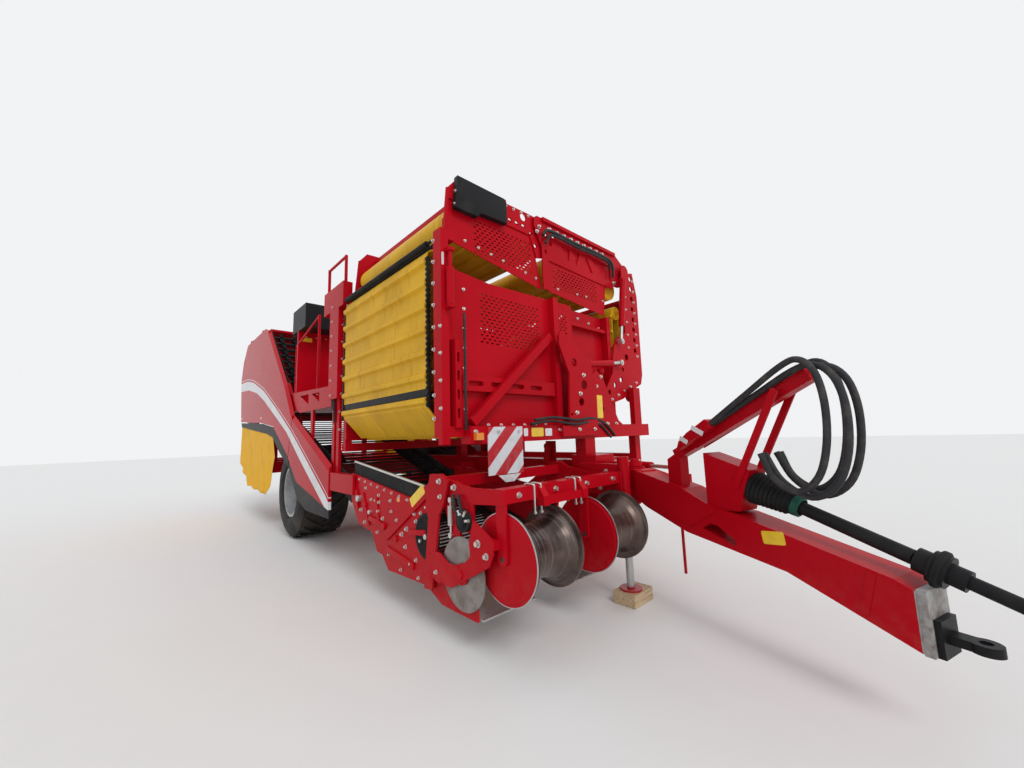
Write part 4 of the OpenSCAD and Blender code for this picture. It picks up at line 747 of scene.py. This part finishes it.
def makeBolts():
    spots = defaultdict(list)

    def bolt(body, found, size):
        if found:
            spots[body].append((*found, size))

    for body, node, aim, at, rows in boltRows:
        for *ends, count, size in rows:
            for k in range(count):
                spot = Vector(ends[:2]).lerp(Vector(ends[2:]), k / (count - 1))
                bolt(body, seat(node, rayStart(aim, at, *spot), aim, facing=bolting["facing"]), size)
    for size, spread in diggerBolts.items():
        for y, z in spread:
            bolt("digger", onSidePlate(y, z, bolting["facing"]), size)
    for name, side in sides:
        middle = middleOf("rim_" + name)
        for k in range(wheelBolts["count"]):
            a = 2 * math.pi * k / wheelBolts["count"]
            y = middle.y + wheelBolts["circle"] * math.cos(a)
            z = middle.z + wheelBolts["circle"] * math.sin(a)
            found = seat("rim_" + name, (side * wheelBolts["from"], y, z), (-side, 0, 0))
            bolt("wheel_" + name, found, wheelBolts["size"])
    tree = boltTree()
    values = {"Head Width": bolting["width"], "Head Height": bolting["height"], "Finish": paints["zinc"]}
    for body in sorted(spots):
        growPiece("bolts_" + body, body, spots[body], tree, values)
    print("stage: bolts", {body: len(s) for body, s in spots.items()})


# bare plates: body, node, aim, where the rays start along it,
# and (place across the aim, width, height, turn, finish)
plates = [
    ("chassis", "bunker_frame", toRear, -3.5, [
        (-0.797, 1.585, 0.055, 0.075, 0, "whitePlate"), (-0.635, 1.583, 0.17, 0.085, 0, "yellowPlate"),
        (-0.474, 1.58, 0.1, 0.075, 0, "whitePlate"), (0.462, 1.86, 0.13, 0.27, 0, "yellowPlate"),
        (-1.66, 3.105, 0.022, 0.12, 0, "whitePlate"),
    ]),
    ("chassis", "picking_platform", toRear, 0.9, [(-1.49, 3.285, 0.16, 0.07, 0, "yellowPlate")]),
    ("chassis", "rear_hood", toFront, 6.6, [
        (0.0, 2.42, 0.52, 0.12, 0, "whitePlate"),
        *[(side * x, z, wide, high, 0, finish) for side in (-1, 1) for x, z, wide, high, finish in (
            (1.13, 2.52, 0.282, 0.282, "sign"), (1.17, 2.31, 0.14, 0.09, "redLens"),
            (1.05, 2.31, 0.09, 0.09, "amberLens"),
        )],
    ]),
    ("digger", "digger_frame", toLeft, -2.2, [
        (-2.63, 1.055, 0.27, 0.085, 33, "yellowPlate"), (-2.24, 0.985, 0.06, 0.04, 10, "amberLens"),
    ]),
    ("drawbar", "drawbar", (0.956, -0.292, 0), -1.2, [(-4.725, 0.82, 0.15, 0.085, 8, "yellowPlate")]),
    *[(name, name, aim, at, [
        (3.615, 2.06, 0.09, 0.045, 0, "amberLens"), (5.72, 2.15, 0.09, 0.045, 0, "amberLens"),
    ]) for name, aim, at in (("cover_right", toLeft, -2.2), ("cover_left", toRight, 2.2))],
]


def makePlates():
    groups = defaultdict(bmesh.new)
    for body, node, aim, at, rows in plates:
        for a, b, width, height, turn, finish in rows:
            found = seat(node, rayStart(aim, at, a, b), aim)
            if found:
                addPlate(groups[body, finish], *found, width, height, turn)
    for body, finish in sorted(groups):
        slot = "lamp" if finish.endswith("Lens") else "sign"
        keep(finish + "_" + body, body, groups[body, finish], finish, slot)


# pieces cut from plate: the elevator's black top cover, the bright rail at the digging web's edge
# and the turned-down end of the warning board
cutPieces = {
    "tipCover": {
        "body": "elevator_end", "finish": "black", "slot": "black",
        "axis": "y", "from": -3.008, "to": -2.9515, "round": 0.004,
        "outline": [
            (-1.472, 3.688), (-1.442, 4.017), (-0.85, 4.017), (-0.818, 3.985),
            (-0.818, 3.748), (-1.161, 3.743), (-1.201, 3.688),
        ],
    },
    "webEdgeRail": {
        "body": "digger", "finish": "zinc", "slot": "steel",
        "axis": "x", "from": -1.624, "to": -1.605, "round": 0.0015,
        "outline": [(-1.12, 1.303), (-1.12, 1.323), (-2.68, 1.15), (-2.68, 1.13)],
    },
    "signTail": {
        "body": "chassis", "finish": "whitePlate", "slot": "sign",
        "axis": "y", "from": -3.172, "to": -3.16, "round": 0.002,
        "outline": [(-1.17, 1.214), (-0.9, 1.214), (-0.985, 1.15), (-1.085, 1.15)],
    },
}


def makeCutPiece(name):
    c, bm = cutPieces[name], bmesh.new()
    addPrism(bm, c["outline"], c["axis"], c["from"], c["to"], c["round"])
    keep(name, c["body"], bm, c["finish"], c["slot"])


rollerEnd = {"radius": 0.306, "inset": 0.0345, "bore": 0.024, "thick": 0.011, "rim": 0.022, "step": 0.004}


def makeRollerEnds(c):
    # round side discs of the ridge rollers, painted on the face and worn bright on the rim
    r, t, step = c["radius"], c["thick"], c["step"]
    inner, face = r - c["rim"], step - t
    disc = [(0, c["bore"]), (-t, c["bore"]), (-t, inner - step), (face, inner), (face, r), (0, r)]
    rim = [(-0.0005, r - 0.003), (0.003 - t, r - 0.003), (0.003 - t, r + 0.0025), (-0.0005, r + 0.0025)]
    for side, _ in sides:
        middle = middleOf("roller_" + side)
        centre = (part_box("roller_" + side)[0].x + c["inset"], middle.y, middle.z)
        for tail, profile, look in (("", disc, "red"), ("Rim", rim, "steel")):
            name, body = "rollerDisc_" + side + tail, "ridge_roller_" + side
            turnPiece(name, body, profile, centre, toLeft, 96, look, look)


# where the digging web's spring hangs, and how it is wound
spring = {
    "x": -1.655, "top": (-3.14, 1.07), "foot": (-3.14, 0.8), "wound": (0.16, 0.72),
    "radius": 0.021, "wire": 0.0042, "turns": 17, "rod": 0.008, "eye": (0.012, 0.022),
}


def makeSpring(c):
    bm = bmesh.new()
    top, foot = Vector((c["x"], *c["top"])), Vector((c["x"], *c["foot"]))
    a, b = (top + (foot - top) * share for share in c["wound"])
    path, steps = [], c["turns"] * 12
    for k in range(steps + 1):
        t = 2 * math.pi * c["turns"] * k / steps
        path.append(a.lerp(b, k / steps) + Vector((c["radius"] * math.cos(t), c["radius"] * math.sin(t), 0)))
    addTube(bm, path, c["wire"], 6)
    addTube(bm, [top, foot], c["rod"])
    half, r = c["eye"]
    for spot in (top, foot):
        addTurned(bm, [(-half, 0), (-half, r), (half, r), (half, 0)], spot, toLeft, 16)
    keep("webSpring", "digger", bm, "zinc", "steel")


clamp = {
    "x": (-1.335, -1.265, -0.855, -0.785), "y": (-3.757, -3.655), "z": (0.985, 1.197),
    "wire": 0.008, "bend": 0.022, "short": 0.12, "nut": (0.014, 0.015),
}


def makeClamps(c):
    # zinc bow bolts round the tool bar, with their nuts below
    bm = bmesh.new()
    (y0, y1), (z0, z1), bend, (high, wide) = c["y"], c["z"], c["bend"], c["nut"]
    nip = bend * 0.3
    path = [
        (y0, z0), (y0, z1 - bend), (y0 + nip, z1 - nip), (y0 + bend, z1),
        (y1 - bend, z1), (y1 - nip, z1 - nip), (y1, z1 - bend), (y1, z1 - c["short"]),
    ]
    for x in c["x"]:
        addTube(bm, smoothPath([(x, y, z) for y, z in path], 4), c["wire"], 8)
        addTurned(bm, [(0, 0), (0, wide), (high, wide), (high, 0)], (x, y0, z0 + 0.004), (0, 0, 1), 6)
    keep("toolBarClamps", "digger", bm, "zinc", "steel")


# hoses clamped along the machine: body, radius, points
clampedHoses = [
    ("elevator_arm", 0.019, [
        (-0.28, -3.02, 3.8), (-0.22, -3.03, 3.87), (-0.08, -3.035, 3.885), (0.3, -3.035, 3.875),
        (0.7, -3.035, 3.885), (1.02, -3.035, 3.875), (1.12, -3.03, 3.8), (1.13, -3.02, 3.66),
    ]),
    ("elevator_arm", 0.016, [
        (-0.24, -3.02, 3.72), (-0.16, -3.03, 3.83), (0.0, -3.035, 3.85), (0.35, -3.035, 3.838),
        (0.75, -3.035, 3.85), (1.0, -3.035, 3.835), (1.06, -3.03, 3.74),
    ]),
    ("digger", 0.013, [
        (-1.672, -3.2, 1.12), (-1.682, -3.22, 1.06), (-1.684, -3.25, 1.0), (-1.674, -3.27, 0.945),
    ]),
    ("digger", 0.013, [
        (-1.672, -3.27, 1.12), (-1.684, -3.3, 1.07), (-1.686, -3.33, 1.01), (-1.676, -3.345, 0.955),
    ]),
    ("chassis", 0.012, [
        (-1.46, -3.1, 2.64), (-1.475, -3.12, 2.45), (-1.47, -3.115, 2.1),
        (-1.475, -3.12, 1.8), (-1.46, -3.1, 1.62),
    ]),
    ("chassis", 0.013, [
        (-1.64, -0.46, 3.3), (-1.665, -0.5, 3.05), (-1.665, -0.52, 2.6),
        (-1.66, -0.49, 2.1), (-1.64, -0.46, 1.8),
    ]),
    ("chassis", 0.01, [
        (-1.64, -0.4, 3.2), (-1.668, -0.37, 2.95), (-1.668, -0.36, 2.5),
        (-1.66, -0.38, 2.2), (-1.64, -0.42, 1.95),
    ]),
    ("chassis", 0.014, [
        (-0.75, -3.175, 1.66), (-0.45, -3.185, 1.69), (-0.1, -3.205, 1.655), (0.2, -3.175, 1.68),
        (0.42, -3.165, 1.64), (0.62, -3.16, 1.5),
    ]),
    ("chassis", 0.014, [
        (-0.7, -3.18, 1.7), (-0.42, -3.195, 1.725), (-0.08, -3.21, 1.7), (0.24, -3.185, 1.72),
        (0.5, -3.17, 1.66), (0.7, -3.165, 1.52),
    ]),
]


def makeClampedHoses():
    groups = defaultdict(bmesh.new)
    for body, radius, points in clampedHoses:
        addTube(groups[body], smoothPath(points, 8), radius)
    for body in sorted(groups):
        keep("clampedHoses_" + body, body, groups[body], "hose", "rubber", 1.2)


def drawbarPoint(across, ahead, up):
    # a point given in metres across, ahead of the steering pivot and above the ground
    (x, y), a = drawbarRest["pivot"], math.radians(drawbarRest["angle"])
    c, s = math.cos(a), math.sin(a)
    return Vector((x + across * c - ahead * s, y - across * s - ahead * c, up))


# the four sleeved hose bundles that loop from the boom's head, a route being (ahead, up)
boomHoses = {
    "radius": 0.0215, "offset": 0.0703, "second": 0.0443,
    "route": [
        (1.0, 1.6), (1.35, 1.79), (1.62, 1.93), (1.76, 1.95), (1.86, 1.85), (1.9, 1.65),
        (1.88, 1.4), (1.8, 1.2), (1.65, 1.11), (1.48, 1.2), (1.38, 1.38),
    ],
    "pull": [(0.0, 0.0), (0.055, -0.09)],
}


def makeBoomHoses(c):
    last = len(c["route"]) - 1
    for row, (lift, back) in enumerate(c["pull"]):
        for name, side in sides:
            across = side * (c["offset"] + row * c["second"])
            points = []
            for i, (ahead, up) in enumerate(c["route"]):
                pull = math.sin(math.pi * i / last)
                points.append(drawbarPoint(across, ahead + pull * back, up + pull * lift))
            path = smoothPath(points, 5)
            bm = bmesh.new()
            addTube(bm, path, c["radius"], 14)
            obj = keep("boomHose_" + name + str(row + 1), "drawbar", bm, "sleeve", "rubber", 1.2)
            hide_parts("hoses")
            length = sum((b - a).length for a, b in zip(path, path[1:]))
            path[0]
            2 * c["radius"]


# ribbed boot of the drive shaft with its ring, and the joint's rubber ring at the front
boot = {
    "start": (1.23, 1.13), "end": (2.11, 0.83), "long": 0.285, "ribs": 9, "inside": 0.052,
    "wide": 0.12, "narrow": 0.086, "ring": (0.066, 0.05), "lip": 0.006, "jointAt": 0.99,
    "joint": [(0.0, 0.062), (-0.006, 0.088), (0.004, 0.1), (0.024, 0.1), (0.034, 0.088), (0.03, 0.062)],
    "rib": [(0.0, -0.016), (0.22, -0.003), (0.4, 0.0), (0.58, -0.003), (0.8, -0.016)],
}


def makeBoot(c):
    start, end = drawbarPoint(0, *c["start"]), drawbarPoint(0, *c["end"])
    run = (end - start).normalized()
    long, wide, narrow, inside, lip = (c[k] for k in ("long", "wide", "narrow", "inside", "lip"))
    profile = [(0.004, 0.08), (0.004, wide - 0.012)]
    pitch = (long - 0.03) / c["ribs"]
    for k in range(c["ribs"]):
        top = wide + (narrow - wide) * k / (c["ribs"] - 1)
        profile += [(0.014 + k * pitch + pitch * share, top + drop) for share, drop in c["rib"]]
    profile += [(long, narrow - 0.014), (long, inside), (long - 0.012, inside), (long - 0.03, 0.08)]
    r, deep = c["ring"]
    ring = [
        (0, inside), (0, r), (lip, r + lip), (deep - lip, r + lip - 0.004), (deep, r - 0.006), (deep, inside),
    ]
    turnPiece("shaftBoot", "drawbar", profile, start, run, 56, "rubber", "rubber", 0.9)
    turnPiece("shaftBootRing", "drawbar", ring, start + run * (long + 0.0005), run, 48, "green", "black")
    turnPiece("jointRing", "drive_shaft", c["joint"], start + run * c["jointAt"], run, 56, "rubber", "black")


# shield over the hoses where they leave the boom: outline as (ahead, up), half its width,
# and its blank plates as (ahead, up, width, height)
shield = {
    "outline": [
        (0.665, 1.372), (0.7, 1.462), (0.79, 1.535), (0.905, 1.6), (0.972, 1.64), (1.002, 1.622),
        (1.022, 1.572), (0.94, 1.528),
    ],
    "half": 0.146, "bevel": 0.007, "slope": 28.5,
    "plates": [(0.76, 1.475, 0.085, 0.038), (0.9, 1.552, 0.12, 0.04)],
}


def makeShield(c):
    bm = bmesh.new()
    walls = (-c["half"], c["half"])
    joinRings(bm, *([bm.verts.new(drawbarPoint(wall, *p)) for p in c["outline"]] for wall in walls))
    bmesh.ops.recalc_face_normals(bm, faces=bm.faces[:])
    bmesh.ops.bevel(bm, geom=bm.edges[:], offset=c["bevel"], segments=3, profile=0.7, affect="EDGES")
    keep("hoseShield", "drawbar", bm, "red", "red")
    bm = bmesh.new()
    for side in (-1, 1):
        normal = drawbarPoint(side, 0, 0) - drawbarPoint(0, 0, 0)
        for ahead, up, width, height in c["plates"]:
            spot = drawbarPoint(side * c["half"], ahead, up)
            addPlate(bm, spot, normal, width, height, c["slope"] * side, 0.002, 0.006)
    keep("hoseShieldPlates", "drawbar", bm, "whitePlate", "sign")


# oil motor beside the coulter, its body and one port as (distance along, radius)
motor = {
    "at": (-3.325, 0.935), "x": -1.7, "portAlong": 0.018, "portOut": 0.046,
    "body": [
        (0, 0), (0, 0.038), (0.004, 0.044), (0.012, 0.044), (0.012, 0.052), (0.03, 0.052), (0.03, 0.062),
        (0.0432, 0.062), (0.0432, 0.048), (0.06, 0.048), (0.06, 0),
    ],
    "port": [
        (0, 0), (0, 0.014), (0.012, 0.014), (0.012, 0.01),
        (0.03, 0.01), (0.03, 0.013), (0.04, 0.013), (0.04, 0),
    ],
    "ports": [(-3.352, 0.982), (-3.322, 0.992), (-3.292, 0.986), (-3.372, 0.942)],
}


def makeMotor(c):
    y, z = c["at"]
    turnPiece("coulterMotor", "digger", c["body"], (c["x"], y, z), toLeft, 32, "black", "black")
    bm = bmesh.new()
    for py, pz in c["ports"]:
        out = Vector((0, py - y, pz - z)).normalized()
        addTurned(bm, c["port"], Vector((c["x"] + c["portAlong"], y, z)) + out * c["portOut"], out, 12)
    keep("motorPorts", "digger", bm, "zinc", "steel")


# the coulters' hubs as (distance along, radius)
hub = {
    "profile": [
        (-0.001, 0), (-0.001, 0.078), (0.009, 0.078), (0.012, 0.075), (0.012, 0.044), (0.018, 0.036),
        (0.03, 0.036), (0.034, 0.032), (0.034, 0),
    ],
    "from": 2.3, "beside": 0.05,
}


def makeHubs(c):
    for name, side in sides:
        middle = middleOf("coulter_" + name)
        found = seat("coulter_" + name, (side * c["from"], middle.y + c["beside"], middle.z), (-side, 0, 0))
        if found:
            face = (found[0].x, middle.y, middle.z)
            turnPiece("hub_disc_" + name, "disc_" + name, c["profile"], face, (side, 0, 0), 40, "red", "red")


# bosses on the digging unit's side plate: along, up, radius, height, finish
bosses = [
    (-1.36, 0.92, 0.034, 0.05, "zinc"), (-1.5, 0.86, 0.026, 0.022, "red"),
    (-1.95, 0.7, 0.036, 0.024, "red"), (-2.77, 0.73, 0.052, 0.016, "red"),
    (-2.77, 0.73, 0.022, 0.034, "zinc"), (-1.34, 0.62, 0.026, 0.026, "zinc"),
    (-2.2, 0.62, 0.03, 0.02, "red"), (-1.62, 0.8, 0.022, 0.03, "zinc"),
]
# flat bars on the same plate: from, to, width, thickness
bars = [
    ((-1.25, 1.0), (-1.3, 0.8), 0.06, 0.022), ((-1.42, 0.98), (-1.6, 0.66), 0.034, 0.016),
    ((-1.6, 0.74), (-1.98, 0.7), 0.05, 0.018), ((-2.02, 0.5), (-2.55, 0.44), 0.055, 0.018),
    ((-2.46, 0.72), (-2.76, 0.76), 0.046, 0.02), ((-1.76, 0.96), (-1.84, 0.7), 0.04, 0.014),
]


def makeFittings():
    groups = defaultdict(bmesh.new)
    for y, z, radius, height, finish in bosses:
        found = onSidePlate(y, z, bolting["facing"])
        if found:
            edge = min(0.004, radius * 0.2)
            side = [(-0.001, radius), (height - edge, radius), (height, radius - edge)]
            addTurned(groups[finish], [(-0.001, 0), *side, (height, 0)], found[0], toRight, 24)
    for (y0, z0), (y1, z1), wide, thick in bars:
        found = onSidePlate((y0 + y1) / 2, (z0 + z1) / 2)
        if found:
            a, b = Vector((y0, z0)), Vector((y1, z1))
            run = (b - a).normalized()
            across = Vector((-run.y, run.x)) * (wide / 2)
            outline = (a + across, b + across, b - across, a - across)
            addPrism(groups["red"], outline, "x", found[0].x - thick, found[0].x + 0.001, 0.003)
    for finish in sorted(groups):
        slot = "steel" if finish == "zinc" else "red"
        keep("diggerFittings_" + finish, "digger", groups[finish], finish, slot)


# curtains behind the wheels: outline as (y, z), and how they fold; "free" is the upper edge's y, z
# and slope, "drop" the depth to the full swing, "lead" the front edge's bend: from, over, how far
curtain = {
    "outline": [
        (2.64, 1.6531), (3.09, 1.7297), (5.74, 1.9488), (5.74, 1.1), (4.69, 0.64), (2.95, 0.58),
        (2.56, 0.92), (2.38, 1.3),
    ],
    "x": 1.6715, "cells": 0.03, "waves": 11.0, "depth": 0.02, "thick": 0.0022,
    "free": (3.0, 1.7, 0.083), "drop": 1.1, "lead": (2.85, 0.4, 0.03), "hem": 0.008,
}


def makeCurtains(c):
    ys, zs = zip(*c["outline"])
    (y0, z0, slope), (front, width, bend) = c["free"], c["lead"]
    for name, side in sides:
        bm = bmesh.new()
        bm.faces.new([bm.verts.new((0, y, z)) for y, z in c["outline"]])
        for normal, values, step in (((0, 1, 0), ys, c["cells"]), ((0, 0, 1), zs, 2 * c["cells"])):
            at = min(values) + step
            while at < max(values):
                geom = bm.verts[:] + bm.edges[:] + bm.faces[:]
                bmesh.ops.bisect_plane(bm, geom=geom, plane_co=Vector(normal) * at, plane_no=normal)
                at += step
        flat = sum(f.calc_area() for f in bm.faces)
        for v in bm.verts:
            y, z = v.co.y, v.co.z
            low = min(max((z0 + (y - y0) * slope - z) / c["drop"], 0.0), 1.0)
            lead = min(max((front - y) / width, 0.0), 1.0)
            # a long wave that wanders, and a short one
            fold = math.sin(y * c["waves"] + 0.9 * math.sin(y * 2.3) + z * 0.5)
            fold += 0.35 * math.sin(y * 19 + z * 2.0)
            v.co.x = side * (c["x"] + c["depth"] * fold * (0.05 + 0.75 * low) + bend * low * lead * lead)
            v.co.z = z + c["hem"] * math.sin(y * 9.0) * low
        obj = keep("curtainSheet_" + name, "chassis", bm, "curtain", "curtain", 1.4)
        solid = obj.modifiers.new("thickness", "SOLIDIFY")
        solid.thickness, solid.offset = c["thick"], 0
        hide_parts("curtain_" + name)


def makeStage():
    bpy.ops.mesh.primitive_plane_add(size=light["floorSize"], location=(0, 0, -0.002))
    floor = bpy.context.object
    floor.name = "studioFloor"
    p = Paint("paleFloor", light["floor"], 0.9)
    p.feed(p.mix(p.noise(3, 4), tuple(0.97 * c for c in light["floor"]), light["floor"]))
    floor.data.materials.append(p.material)
    world = bpy.data.worlds.new("paleWorld")
    bpy.context.scene.world = world
    world.use_nodes = True
    nodes, links = world.node_tree.nodes, world.node_tree.links
    back, shown = nodes["Background"], nodes.new("ShaderNodeBackground")
    for shader, key in ((back, "world"), (shown, "background")):
        shader.inputs["Color"].default_value = light[key + "Tint"]
        shader.inputs["Strength"].default_value = light[key]
    rays, either, choose = (nodes.new("ShaderNode" + kind) for kind in ("LightPath", "Math", "MixShader"))
    either.operation = "MAXIMUM"
    links.new(rays.outputs["Is Camera Ray"], either.inputs[0])
    links.new(rays.outputs["Is Glossy Ray"], either.inputs[1])
    for i, source in enumerate((either, back, shown)):
        links.new(source.outputs[0], choose.inputs[i])
    links.new(choose.outputs[0], nodes["World Output"].inputs[0])
    sun = bpy.data.lights.new("softSun", "SUN")
    sun.energy = light["sun"]
    sun.angle = math.radians(light["sunSoftness"])
    addObject("softSun", sun).rotation_euler = [math.radians(a) for a in light["sunTurn"]]
    bpy.context.scene.view_settings.view_transform = "Standard"


aimCamera(camera)
makeBoomHoses(boomHoses)
print("stage: camera and hoses")
makeStage()
dressNodes()
print("stage: light and finishes")
makeCurtains(curtain)
makeCutPiece("tipCover")
makeCutPiece("webEdgeRail")
makeRollerEnds(rollerEnd)
makeSpring(spring)
makeClamps(clamp)
makeClampedHoses()
makeBoot(boot)
makeShield(shield)
makeMotor(motor)
makeHubs(hub)
makeFittings()
makeCutPiece("signTail")
print("stage: trim pieces")
makePlates()
makeBolts()
